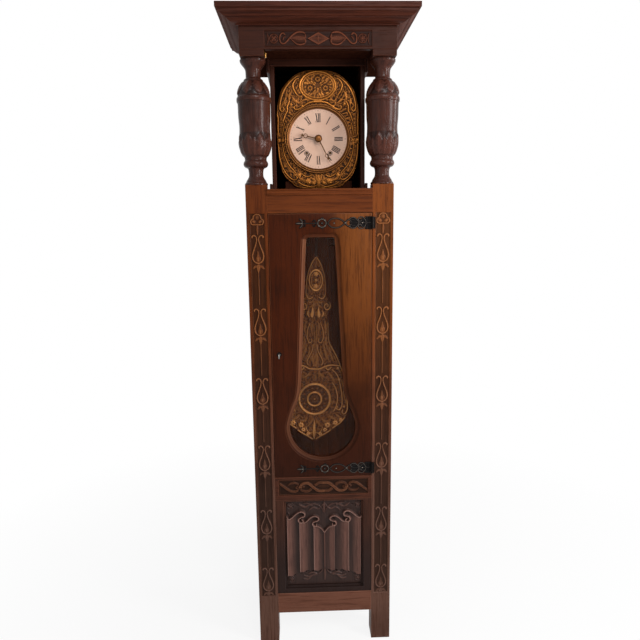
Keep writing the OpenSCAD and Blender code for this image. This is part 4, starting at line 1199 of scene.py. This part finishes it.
def numerals():
    bm = bmesh.new()
    for hour, signs in enumerate(NUMERALS, start=1):
        place = -sum(SIGN_WIDTHS[s] for s in signs) / 2
        for shape in signs:
            sign(bm, shape, place + SIGN_WIDTHS[shape] / 2, math.radians(30 * hour))
            place += SIGN_WIDTHS[shape]
    for minute in range(60):
        foot, width = (MINUTE_MARK_FOOT, 0.6) if minute % 5 else (HOUR_MARK_FOOT, 1.5)
        stroke(bm, (0, foot), (0, MARK_HEAD), width, math.radians(6 * minute))
    bm.transform(Matrix.Translation((0, ENAMEL_FRONT - PAINT / 2, DIAL_Z)))
    bm.transform(Matrix.Scale(MM, 4))
    piece("dial_numerals", into_mesh(bm, "dial_numerals"), "case", "numeral")


WINDING_X, WINDING_Z = 43.5, 1945
HOLE_RIM = [
    (1.9, -2.4), (2.4, -0.8), (5.6, -0.2), (7.4, 1.2), (8.7, 0.9), (8.7, -0.4), (1.9, -2.4),
]
ARBOR_END = [(0, -6), (1.7, -6), (1.7, 0.6), (0, 0.6)]


def winding_hole(name, x, drum):
    """The dished rim of a winding hole, with the end of its drum's arbor in it"""
    rim = facing(turned(HOLE_RIM), x, ENAMEL_FRONT, WINDING_Z)
    piece("winding_hole_" + name, into_mesh(rim, name, 30), "case", "numeral")
    arbor = facing(turned(ARBOR_END), x, ENAMEL_FRONT, WINDING_Z)
    piece("winding_arbor_" + name, into_mesh(arbor, name, 30), drum, "wheel")


BEZEL_ROWS = [
    (110.7, -8), (110.7, 0.9), (106.0, 1.0), (105.5, 1.6), (106.2, 2.4), (109.0, 4.2), (111.6, 6.2),
    (112.8, 7.6), (114.0, 8.0), (115.4, 7.2), (116.4, 5.2), (117.8, 4.2), (119.0, 5.2),
    (120.2, 6.2), (121.4, 5.8), (122.0, 4.4), (122.4, 1.0), (123.0, -1.0), (123.0, -7.8),
]
BEZEL_BACK_Y = -28
RUBBED_RADII = ((0, 106.4), (112.4, 115), (119.4, 121.6))  # the inner lip and two rings
BOSS_ROWS = [(0, 3.4), (4, 3.2), (8, 2.3), (10.6, 0.9), (11.2, 0), (0, 0)]


def bezel():
    rows = [(r, up) for r, up, _ in curve([(r, up, 0) for r, up in BEZEL_ROWS], 3)]
    bm = facing(turned(rows, 160), 0, BEZEL_BACK_Y, DIAL_Z)
    crest = bm.verts.layers.float.new("crest")
    for vert in bm.verts:
        radius = math.hypot(vert.co.x, vert.co.z - DIAL_Z * MM) / MM
        rubbed = any(inner < radius < outer for inner, outer in RUBBED_RADII)
        vert[crest] = 0.8 if rubbed else -0.2
    mesh = into_mesh(bm, "bezel", 50)
    piece("dial_bezel_turned", mesh, "case", "old_polished", ["dial_bezel"])


def hand_boss():
    """The small turned dome that hides where the two hands are fixed"""
    low, _ = box_mm("minute_hand")
    bm = facing(turned(BOSS_ROWS), 0, low[1] + 0.3, DIAL_Z)
    crest = bm.verts.layers.float.new("crest")
    for vert in bm.verts:
        vert[crest] = 0.15
    mesh = into_mesh(bm, "hand_boss", 40)
    piece("hand_boss", mesh, "minute_work", "old_polished")


# Embossed front of the pendulum

PENDULUM_EDGE = [
    (6, 1566), (16, 1552), (26, 1524), (36, 1490), (40, 1450), (41, 1416), (48, 1394),
    (59, 1380), (60, 1362), (51, 1344), (46, 1328), (53, 1306), (54, 1262), (58, 1230),
    (70, 1206), (88, 1174), (105, 1131), (119, 1088), (131, 1025), (138, 965), (137, 938),
    (126, 910), (104, 882), (74, 860), (40, 836), (6, 814),
]
PENDULUM_SCROLLS = [
    [(2, 1560, 2), (12, 1546, 2.6), (23, 1521, 2.8), (33, 1489, 2.8), (37, 1450, 2.8),
     (38, 1420, 2.8), (31, 1404, 2.6), (22, 1400, 2.2), (12, 1406, 2)],
    [(44, 1400, 2.4), (55, 1388, 3.2), (58, 1371, 3.4), (51, 1358, 3.2), (40, 1358, 3),
     (35, 1369, 2.8), (41, 1380, 2.6), (49, 1375, 2.4), (47, 1368, 2)],
    [(49, 1304, 2.6), (51, 1262, 3), (55, 1228, 3), (67, 1203, 3.2), (84, 1172, 3.4),
     (101, 1132, 3.2), (115, 1088, 3.4), (127, 1026, 3.6), (134, 966, 3.4), (131, 940, 3.2),
     (121, 928, 3), (112, 936, 2.6), (117, 945, 2.2)],
    [(0, 1116, 3), (20, 1117, 3.2), (42, 1127, 3.4), (66, 1132, 3.4), (98, 1130, 3.2)],
    [(66, 1124, 2.4), (54, 1114, 3), (44, 1120, 2.6), (48, 1128, 2.2)],
    [(70, 1114, 2.4), (90, 1092, 3.2), (102, 1056, 3.4), (110, 1010, 3.4), (112, 968, 3.2),
     (102, 946, 3), (91, 951, 2.6), (95, 961, 2.2)],
    [(70, 1062, 2), (86, 1034, 2.8), (93, 996, 2.8), (88, 960, 2.6), (78, 940, 2.2)],
    [(124, 914, 2.6), (108, 893, 3.2), (92, 880, 3.2), (74, 868, 3)],
    [(66, 859, 2.6), (44, 844, 3.2), (24, 832, 3.2), (8, 822, 2.6)],
    [(34, 872, 2.2), (26, 854, 3), (16, 846, 3), (7, 850, 2.2)],
    [(22, 1300, 2.2), (30, 1276, 2.8), (32, 1246, 2.8), (24, 1224, 2.6), (14, 1228, 2.4),
     (14, 1240, 2)],
    [(8, 1216, 2), (12, 1190, 2.6), (24, 1166, 2.8), (32, 1146, 2.6), (26, 1132, 2.2)],
]
PENDULUM_LEAVES = [
    [(8, 1392, 1.6), (18, 1384, 4.5), (30, 1388, 1.6)],
    [(4, 1388, 1.6), (12, 1372, 4.5), (26, 1364, 1.6)],
    [(10, 1310, 1.6), (16, 1284, 4.8), (10, 1252, 1.4)],
    [(36, 1308, 1.6), (42, 1284, 4.8), (38, 1254, 1.4)],
    [(44, 1250, 1.4), (42, 1226, 5.2), (50, 1196, 1.4)],
    [(34, 1220, 1.4), (40, 1188, 6), (56, 1150, 1.4)],
    [(56, 1212, 1.4), (62, 1180, 6), (76, 1144, 1.4)],
    [(74, 1180, 1.4), (82, 1160, 5), (92, 1140, 1.4)],
    [(22, 1212, 1.4), (24, 1180, 5), (40, 1144, 1.4)],
    [(8, 1182, 1.4), (10, 1160, 4.6), (6, 1130, 1.4)],
    [(14, 1106, 1.4), (26, 1092, 5), (44, 1080, 1.4)],
    [(52, 1104, 1.4), (66, 1088, 5.4), (80, 1064, 1.4)],
    [(88, 1118, 1.4), (104, 1106, 5), (112, 1084, 1.4)],
    [(102, 1076, 1.4), (115, 1054, 5), (122, 1028, 1.4)],
    [(112, 1024, 1.4), (123, 1000, 5), (128, 970, 1.4)],
    [(84, 930, 1.4), (100, 918, 5.4), (116, 908, 1.4)],
    [(58, 924, 1.4), (74, 910, 5.4), (96, 902, 1.4)],
    [(28, 912, 1.4), (40, 898, 5.4), (60, 900, 1.4)],
    [(4, 912, 1.4), (16, 890, 5.4), (30, 872, 1.4)],
    [(12, 868, 1.4), (22, 858, 4.6), (38, 854, 1.4)],
]
PENDULUM_FLOWERS = [
    (54, 881, 13, 7), (86, 891, 12, 7), (107, 903, 9, 6), (44, 861, 10, 6),
    (25, 843, 9, 6), (92, 1120, 6, 5), (98, 1074, 6, 5), (120, 960, 6, 5),
]
PENDULUM_Y = 0.5
CARTOUCHE_Z = 1472
# Radius, half width and height of each ring round the bob, and how far from it the painted
# highlight reaches
BOB_RINGS = [(62.5, 4.2, 7.0, 4.4), (28, 3.6, 5.4, 3.6)]


def pendulum_half(level):
    """Half width of the pendulum's front at each height"""
    half = curve([(x, z, 0) for x, z in PENDULUM_EDGE])[::-1]
    return np.interp(level, half[:, 1], half[:, 0])


def pendulum_carving(x, z):
    """Scrolls and flowers on a leafy ground, an oval with roses above, two rings on the bob"""
    work = Carving(x, z)
    rng = np.random.default_rng(11)
    for side in (-1, 1):
        work.foliage(
            rng, side, np.arange(2, 136, 6.8), np.arange(820, 1560, 6.8),
            lambda x, z: math.pi * (z < BOB_Z) + x / 90, 11, 2.0,
        )
        for rows in PENDULUM_LEAVES:
            work.ridge(on_side(rows, side), 2.6, groove=0.8, veins=0.8)
        for rows in PENDULUM_SCROLLS:
            work.ridge(on_side(rows, side), 3.4, over=True)
        for flower_x, flower_z, radius, petals in PENDULUM_FLOWERS:
            work.flower(side * flower_x, flower_z, radius, petals, 5.2, base=1.0)
            work.cut(side * flower_x, flower_z, radius * 0.3, radius * 0.3, 3.6)
    work.both(
        [(13.5, 1326, 2.0), (13.5, 1336, 7.4), (12, 1348, 5.4), (11.5, 1366, 1.2)], 5.8, groove=1.0
    )
    work.both([(25, 1328, 1.4), (31, 1340, 4.2), (27, 1354, 1.2)], 4.6)
    work.both([(6, 1300, 1.4), (4, 1240, 2.2), (4, 1126, 1.6)], 2.4)
    work.hoop(0, CARTOUCHE_Z, 26, 40, 2.6, 4.2)
    work.hoop(0, CARTOUCHE_Z, 18, 31, 1.6, 3.0)
    for up, radius in ((23, 10), (0, 7), (-23, 10)):
        work.flower(0, CARTOUCHE_Z + up, radius, 5, 5.2, base=0.8)
    away = np.hypot(work.x, work.z - BOB_Z)
    work.height = np.where(away < 67, 0.2, work.height)
    for ring, count, size in ((45, 14, 4.6), (37, 28, 1.6), (54, 36, 1.9), (12, 8, 3.2)):
        for turn in np.linspace(0, math.tau, count, endpoint=False):
            work.dome(ring * math.cos(turn), BOB_Z + ring * math.sin(turn), size, size, 1.9)
    for radius, half_width, top, _ in BOB_RINGS:
        work.hoop(0, BOB_Z, radius, radius, half_width, top)
    work.dome(0, BOB_Z, 5, 5, 3.0)
    shell = [(0, 900, 1.6), (0, 872, 6), (0, 846, 8), (0, 822, 2)]
    work.ridge(shell, 4.4, groove=1.2, veins=1.0)
    work.roughen(0.1, 2.1)
    return work.height


def pendulum_front():
    mesh, points = fine_grid("pendulum_pressed", 120, 600)
    foot, head = PENDULUM_EDGE[-1][1] + 0.5, PENDULUM_EDGE[0][1] - 0.5
    z = foot + (points[:, 1] + 1) / 2 * (head - foot)
    half = pendulum_half(z)
    x = points[:, 0] * half
    inset = (1 - np.abs(points[:, 0])) * half
    relief = pendulum_carving(x, z)
    from_bob = np.hypot(x, z - BOB_Z)
    ring_highlight = np.zeros(x.shape, bool)
    for radius, _, _, highlight_reach in BOB_RINGS:
        ring_highlight |= np.abs(from_bob - radius) < highlight_reach
    rim = 1.6 * np.exp(-((inset - 2.2) / 1.6) ** 2)
    height = relief * np.clip(inset / 3, 0.2, 1) + rim
    edge = (np.abs(points[:, 0]) > 0.9999) | (np.abs(points[:, 1]) > 0.9999)
    height = np.where(edge, -2.8, height)
    # The rings round the bob are painted at full brightness: a painted highlight standing for a
    # reflection in the polished brass
    crest = np.where(ring_highlight, 1.0, relief / 2.6 - 0.72)
    swung_x = x * math.cos(SWING) + (z - PIVOT_Z) * math.sin(SWING)
    swung_z = PIVOT_Z + (z - PIVOT_Z) * math.cos(SWING) - x * math.sin(SWING)
    mesh = raise_points(mesh, swung_x, PENDULUM_Y - height, swung_z, crest)
    piece("pendulum_pressed", mesh, "pendulum", "pendulum", ["pendulum_front"])


# Forged straps of the door

HINGE_X = 189.5
HINGE_Y = FRONT - 4.9
STRAP_END_X = 187
STRAP_HALF = 27
STRAP_GROUND = -1.0
STRAP_BARE = -0.6  # faces no higher than this are left out between the scrolls
LEAF_SIZE = (0.006, 0.005, 0.018)
LEAF_X, LEAF_BEHIND = 185.5, 4.2
KNUCKLE = [(2.6, -12), (4.1, -12), (4.5, -11.4), (4.5, 11.4), (4.1, 12), (2.6, 12), (2.6, -12)]


def strap_carving(reach):
    """Scrolls, rings and studs of a strap whose tip lies at reach"""
    def work_on(x, z):
        work = Carving(x, z, STRAP_GROUND)
        outline = 20.5 - 7 * np.abs(np.sin((x - STRAP_END_X) / 26.5)) * (x < 163)
        work.height[(np.abs(z) < outline) & (x > 107) & (x < STRAP_END_X)] = 0.5
        for level in (-1, 1):
            work.ridge([(186, level * 21, 2.2), (164, level * 21, 2.0)], 2.6)
            work.ridge([(166, level * 3, 2), (160, level * 14, 2.4), (152, level * 20, 2.6),
                        (142, level * 19, 2.4), (137, level * 11, 2.4), (143, level * 5, 2.2),
                        (149, level * 9, 2.0)], 3.0)
            work.ridge([(140, 0, 2.2), (134, level * 9, 2.4), (124, level * 18, 2.6),
                        (112, level * 18, 2.4), (106, level * 10, 2.2), (112, level * 5, 2.0)], 3.0)
            for far_x, far_z, near_x in ((158, 12, 143), (126, 10, 112)):
                work.ridge([(far_x, level * far_z, 1.6), (near_x + 7, level * (far_z + 1), 3.0),
                            (near_x, level * 11, 1.4)], 2.8)
            work.ridge([(106, level * 14, 2.6), (96, level * 8, 2.8), (82, level * -7, 2.8),
                        (70, level * -14, 2.8), (54, level * -17, 2.8), (38, level * -13, 2.8),
                        (28, level * -3, 2.6)], 2.9)
            work.ridge([(14, level * 13, 1.8), (7, level * 18, 3.2), (0, level * 13, 1.8)], 2.8)
            work.ridge([(-16, level * 3, 2.0), (-22, level * 11, 2.6), (-28, level * 5, 1.6)], 2.6)
            work.ridge([(reach + 26, 0, 2), (reach + 22, level * 9, 4.8),
                        (reach + 15, level * 16, 2)], 2.9)
            work.ridge([(reach + 30, 0, 2), (reach + 34, level * 8, 2.6),
                        (reach + 29, level * 12, 1.6)], 2.6)
        for x_at in (184, 177, 170, 164):
            work.ridge([(x_at, -21, 1.7), (x_at, 21, 1.7)], 2.8)
        work.ridge([(186, 0, 3), (164, 0, 2.6), (140, 0, 2.2), (106, 0, 2)], 2.8)
        work.hoop(6, 0, 15, 14, 3.0, 3.0, base=0.4)
        work.dome(6, 0, 6, 6, 3.0)
        for turn in (0.8, 2.35, 3.93, 5.5):
            work.dome(6 + 15 * math.cos(turn), 14 * math.sin(turn), 4.6, 4.6, 3.4)
        work.ridge([(30, 0, 2.6), (20, 0, 3.0)], 2.8)
        work.ridge([(-9, 0, 2.6), (-24, 0, 2.6), (-44, 0, 2.2), (reach + 22, 0, 3.2)], 2.8)
        work.ridge([(reach + 22, 0, 2.4), (reach + 11, 0, 5.4), (reach + 1, 0, 1.6)], 3.0)
        for stud_x in (152, 92, 50, reach + 22):
            work.dome(stud_x, 0, 3.4, 3.4, 3.9)
        return work.height, (work.height - 2.65) / 0.75
    return work_on


def strap(name, node, level, reach):
    """A strap at a level of the door, carved flat, with its knuckle and the leaf to it"""
    work = strap_carving(reach)
    span = (reach - 3, STRAP_END_X, level - STRAP_HALF, level + STRAP_HALF)
    mesh = carved_face(
        name, span, DOOR_LOW[1], 0.9, lambda x, z: work(x, z - level), bare=STRAP_BARE
    )
    knuckle = turned(KNUCKLE)
    knuckle.transform(Matrix.Translation((HINGE_X * MM, HINGE_Y * MM, level * MM)))
    leaf = bmesh.ops.create_cube(knuckle, size=1)["verts"]
    leaf_place = Vector((LEAF_X, HINGE_Y + LEAF_BEHIND, level)) * MM
    bmesh.ops.scale(knuckle, verts=leaf, vec=LEAF_SIZE)
    bmesh.ops.translate(knuckle, verts=leaf, vec=leaf_place)
    merged = into_mesh(knuckle, "knuckle", 30)
    bm = bmesh.new()
    bm.from_mesh(mesh)
    bm.from_mesh(merged)
    bm.to_mesh(mesh)
    bm.free()
    piece(name, mesh, "door", "iron", [node])


# Door with the moulded edge round its window

BOWL_Z, BOWL_RADIUS = 920, 144
WINDOW_TOP_Z = 1657
SHOULDER_X, SHOULDER_RADIUS = 44, 25
MOULDING = [
    (-1.2, 0.0), (-0.4, 0.15), (0.6, 1.2), (1.6, 2.2), (3.4, 2.6), (4.2, 3.6), (4.6, 5.0),
    (7.0, 6.6), (10.5, 8.0), (13.6, 8.6), (15.0, 8.2), (16.6, 8.8), (17.6, 10.2),
    (18, 12), (18, 16),
]
# How light each step of the moulding is painted: rubbed wear with a painted highlight, brightest on
# the inner steps and darker on the last
MOULDING_WEAR_AND_HIGHLIGHT = (0.5, 0.6, 0.15, 0.1, 0.0, 0.2, 0.7, 0.8, 0.75, 0.6, 1.1, 1.1, 0.2, -0.3)
LIT_UP_TO_Z = 1625  # the moulding along the window's top is in its own shade
DOOR_ARRIS = 1.4
REBATE = 12
WINDOW_SIDE = [
    (72, 1596), (81, 1410), (90.5, 1223), (96, 1110), (104, 1046), (119, 1006), (133, 968),
    (142, 936),
]


def arc(x, z, radius, degrees):
    turn = np.radians(degrees)
    return list(zip(x + radius * np.cos(turn), z + radius * np.sin(turn)))


def window_half(margin):
    """Right half of the keyhole window's outline from top to bottom, shrunk by a margin"""
    top = [(x, WINDOW_TOP_Z - margin) for x in np.linspace(0, SHOULDER_X, 6)]
    shoulder_z = WINDOW_TOP_Z - SHOULDER_RADIUS
    shoulder = arc(SHOULDER_X, shoulder_z, SHOULDER_RADIUS - margin, np.linspace(90, 5, 6))
    sides = curve([(x - margin, z, 0) for x, z in WINDOW_SIDE], 5)
    bowl = arc(0, BOWL_Z, BOWL_RADIUS - margin, np.linspace(0, -90, 31))
    return top[:-1] + shoulder + [(x, z) for x, z, _ in sides] + bowl


def window_loop(bm, margin, depth):
    half = window_half(margin)
    whole = half[:-1] + [(-x, z) for x, z in half[::-1]][:-1]
    return joined_ring(bm, [bm.verts.new((x, DOOR_LOW[1] + depth, z)) for x, z in whole])


def door_outline(bm, inset, y):
    low_x, high_x = DOOR_LOW[0] + inset, DOOR_HIGH[0] - inset
    low_z, high_z = DOOR_LOW[2] + inset, DOOR_HIGH[2] - inset
    corners = [(low_x, low_z), (high_x, low_z), (high_x, high_z), (low_x, high_z)]
    return joined_ring(bm, [bm.verts.new((x, y, z)) for x, z in corners])


def door():
    """The door's board, built in millimetres: moulded window, eased arrises and a plain back"""
    bm = bmesh.new()
    crest = bm.faces.layers.float.new("crest")
    loops = [window_loop(bm, margin, depth) for margin, depth in MOULDING]
    for place, (outer, inner) in enumerate(zip(loops, loops[1:])):
        for face in bmesh.ops.bridge_loops(bm, edges=outer + inner)["faces"]:
            # Painted light: the moulding is painted lighter towards the window's left, where it
            # faces the light, and darker on the right and along the top, where it is in shade
            x, _, z = face.calc_center_median()
            lit_side = min(max(0.55 - x / 140, 0), 1) * (z < LIT_UP_TO_Z)
            face[crest] = MOULDING_WEAR_AND_HIGHLIGHT[place] * (0.4 + 0.6 * lit_side)
    front = door_outline(bm, DOOR_ARRIS, DOOR_LOW[1])
    arris = door_outline(bm, 0.4, DOOR_LOW[1] + 0.4)
    side = door_outline(bm, 0, DOOR_LOW[1] + DOOR_ARRIS)
    far = door_outline(bm, 0, DOOR_HIGH[1])
    bmesh.ops.triangle_fill(bm, edges=front + loops[0], use_beauty=True, use_dissolve=False)
    for near, away in ((front, arris), (arris, side), (side, far)):
        made = bmesh.ops.bridge_loops(bm, edges=near + away)["faces"]
        if away is not far:
            for face in made:
                face[crest] = 0.8
    back_loop = window_loop(bm, REBATE, MOULDING[-1][1])
    back_edge = window_loop(bm, REBATE, DOOR_HIGH[1] - DOOR_LOW[1])
    bmesh.ops.bridge_loops(bm, edges=loops[-1] + back_loop)
    bmesh.ops.bridge_loops(bm, edges=back_loop + back_edge)
    bmesh.ops.triangle_fill(bm, edges=far + back_edge, use_beauty=True, use_dissolve=False)
    outward(bm, 0.001)
    bm.transform(Matrix.Scale(MM, 4))
    mesh = into_mesh(bm, "door_board_moulded", 28)
    piece("door_board_moulded", mesh, "door", "door", ["door_board"])


# Boards of the case and the hood: slot, finish and how far the arrises are eased

BOARDS = {
    "front_post_left": ("oak_post", "post", 1.6),
    "front_post_right": ("oak_post", "post", 1.6),
    "rear_post_left": ("oak_post", "post", 1.6),
    "rear_post_right": ("oak_post", "post", 1.6),
    "top_rail_front": ("oak_post", "rail", 1.2),
    "mid_rail_front": ("oak_post", "mid_rail", 1.4),
    "bottom_rail_front": ("oak_post", "rail", 1.6),
    "linenfold_frame": ("oak_dark", "frame", 1.6),
    "side_rails": ("oak_post", "crown_side", 1.4),
    "side_panel_left": ("oak_dark", "dark", 1.2),
    "side_panel_right": ("oak_dark", "dark", 1.2),
    "back_board": ("oak_dark", "inner", 1.0),
    "trunk_floor": ("oak_dark", "inner", 0.8),
    "hood_floor": ("oak_dark", "inner", 0.8),
    "column_blocks": ("oak_column", "dark_across", 1.8),
    "frieze_front": ("oak_crown", "dark_across", 1.2),
    "frieze_sides": ("oak_crown", "crown_side", 1.4),
    "top_board": ("oak_dark", "crown_side", 1.4),
    "soffit_board": ("oak_dark", "inner", 1.0),
    "hood_side_left": ("oak_dark", "dark", 1.2),
    "hood_side_right": ("oak_dark", "dark", 1.2),
    "hood_mouldings": ("oak_dark", "dark_across", 2.2),
    "seat_board": ("oak_dark", "inner", 1.0),
}


for end, side in (("left", -1), ("right", 1)):
    post_strip("post_carving_" + end, side * POST_X)
frieze()
guilloche()
linenfold()
for end, side in (("left", -1), ("right", 1)):
    column("column_" + end, side * POST_X)
crown()
for node, (slot, finish, width) in BOARDS.items():
    eased(node, finish, width)
door()
dial_surround()
numerals()
winding_hole("left", -WINDING_X, "going_drum")
winding_hole("right", WINDING_X, "strike_drum")
bezel()
hand_boss()
pendulum_front()
strap("strap_upper_forged", "strap_hinge_upper", 1690, -89)
strap("strap_lower_forged", "strap_hinge_lower", 750, -102)


# Finishes of the CAD nodes that stay as they are

KEPT_NODES = {
    "window_glass": "glass", "enamel_dial": "enamel", "hood_catch": "polished",
    "door_lock": "iron", "hinge_pins": "iron", "movement_cage": "iron", "hammer": "iron",
    "door_key": "steel", "lock_bolt": "steel", "anchor": "steel", "bell": "bell",
    "centre_arbor": "old_polished", "minute_hand": "hand", "hour_hand": "hand",
    "motion_wheel": "wheel", "escape_wheel": "wheel",
    "going_barrel": "cast", "going_weight": "cast", "going_rope": "rope",
    "strike_barrel": "cast", "strike_weight": "cast", "strike_rope": "rope",
    "pendulum_rod": "cast", "pendulum_bob": "cast",
}
for node, finish in KEPT_NODES.items():
    for material_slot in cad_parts[node].material_slots:
        material_slot.material = FINISHES[finish]


# Floor, light and camera

SHADOW_REACH, PAPER_REACH = 0.3, 2.2  # metres from the clock's middle
SOFT_SKY = 0.2


def floor_paper():
    """Pale paper, white to the eye far off and still taking the clock's shadow near it"""
    paper = Finish("floor_paper", Base_Color=(0.86, 0.86, 0.85, 1), Roughness=0.9)
    away = paper.node("ShaderNodeVectorMath", {"operation": "LENGTH"}, {0: paper.here()}, "Value")
    whiter = paper.node(
        "ShaderNodeMapRange", {},
        {"Value": away, "From Min": SHADOW_REACH, "From Max": PAPER_REACH, "To Min": 0.88,
         "To Max": 1.0},
    )
    white = paper.node("ShaderNodeEmission", {}, {})
    share = paper.seen_directly() * whiter
    paper.show(paper.node("ShaderNodeMixShader", {}, {0: share, 1: paper.surface, 2: white}))
    return paper.material


def floor():
    bm = bmesh.new()
    bmesh.ops.create_grid(bm, x_segments=2, y_segments=2, size=12)
    made = bpy.data.objects.new("floor", into_mesh(bm, "floor"))
    made.data.materials.append(floor_paper())
    bpy.context.scene.collection.objects.link(made)


def backdrop():
    """White where it is looked at, and a soft light on everything else"""
    world = bpy.data.worlds.new("studio")
    bpy.context.scene.world = world
    world.use_nodes = True
    sky = Nodes(world.node_tree, "ShaderNodeOutputWorld")
    soft, white = (
        sky.node("ShaderNodeBackground", {}, {"Color": (1, 1, 1, 1), "Strength": strength})
        for strength in (SOFT_SKY, 1.0)
    )
    sky.show(sky.node("ShaderNodeMixShader", {}, {0: sky.seen_directly(), 1: soft, 2: white}))


def lamp(name, place, target, size, watts):
    """A flat lamp, with places and sizes in metres"""
    light = bpy.data.lights.new(name, "AREA")
    light.shape = "RECTANGLE"
    light.size, light.size_y = size
    light.energy = watts
    made = bpy.data.objects.new(name, light)
    made.location = place
    made.rotation_euler = (Vector(target) - Vector(place)).to_track_quat("-Z", "Y").to_euler()
    bpy.context.scene.collection.objects.link(made)


CAMERA_PLACE = (-0.0729, -2.1494, 1.6899)
CAMERA_TURN = (1.914, 9.901, -0.724)  # yaw, pitch and roll in degrees
LENS = 31.16


def camera():
    """The photograph's own viewpoint, from the fit of the case's corners"""
    yaw, pitch, roll = (math.radians(angle) for angle in CAMERA_TURN)
    forward = Vector((
        math.sin(yaw) * math.cos(pitch), math.cos(yaw) * math.cos(pitch), -math.sin(pitch)
    ))
    level = Vector((math.cos(yaw), -math.sin(yaw), 0))
    upright = level.cross(forward)
    right = math.cos(roll) * level + math.sin(roll) * upright
    up = math.cos(roll) * upright - math.sin(roll) * level
    turn = Matrix((right, up, -forward)).transposed().to_4x4()
    data = bpy.data.cameras.new("camera")
    data.lens = LENS
    data.sensor_width = 36
    made = bpy.data.objects.new("camera", data)
    made.matrix_world = Matrix.Translation(CAMERA_PLACE) @ turn
    bpy.context.scene.collection.objects.link(made)
    bpy.context.scene.camera = made


floor()
backdrop()
lamp("window", (2.3, -1.5, 1.9), (0, 0, 1.3), (0.7, 1.9), 62)
lamp("ceiling", (0.7, -2.8, 3.4), (0, 0, 1.2), (1.2, 1.0), 44)
lamp("side", (2.6, 0.15, 2.1), (0.2, -0.1, 2.0), (0.4, 1.2), 22)
lamp("fill", (-2.8, -2.6, 1.4), (0, 0, 1.1), (1.6, 2.0), 8)
camera()
bpy.context.scene.view_settings.view_transform = "Standard"
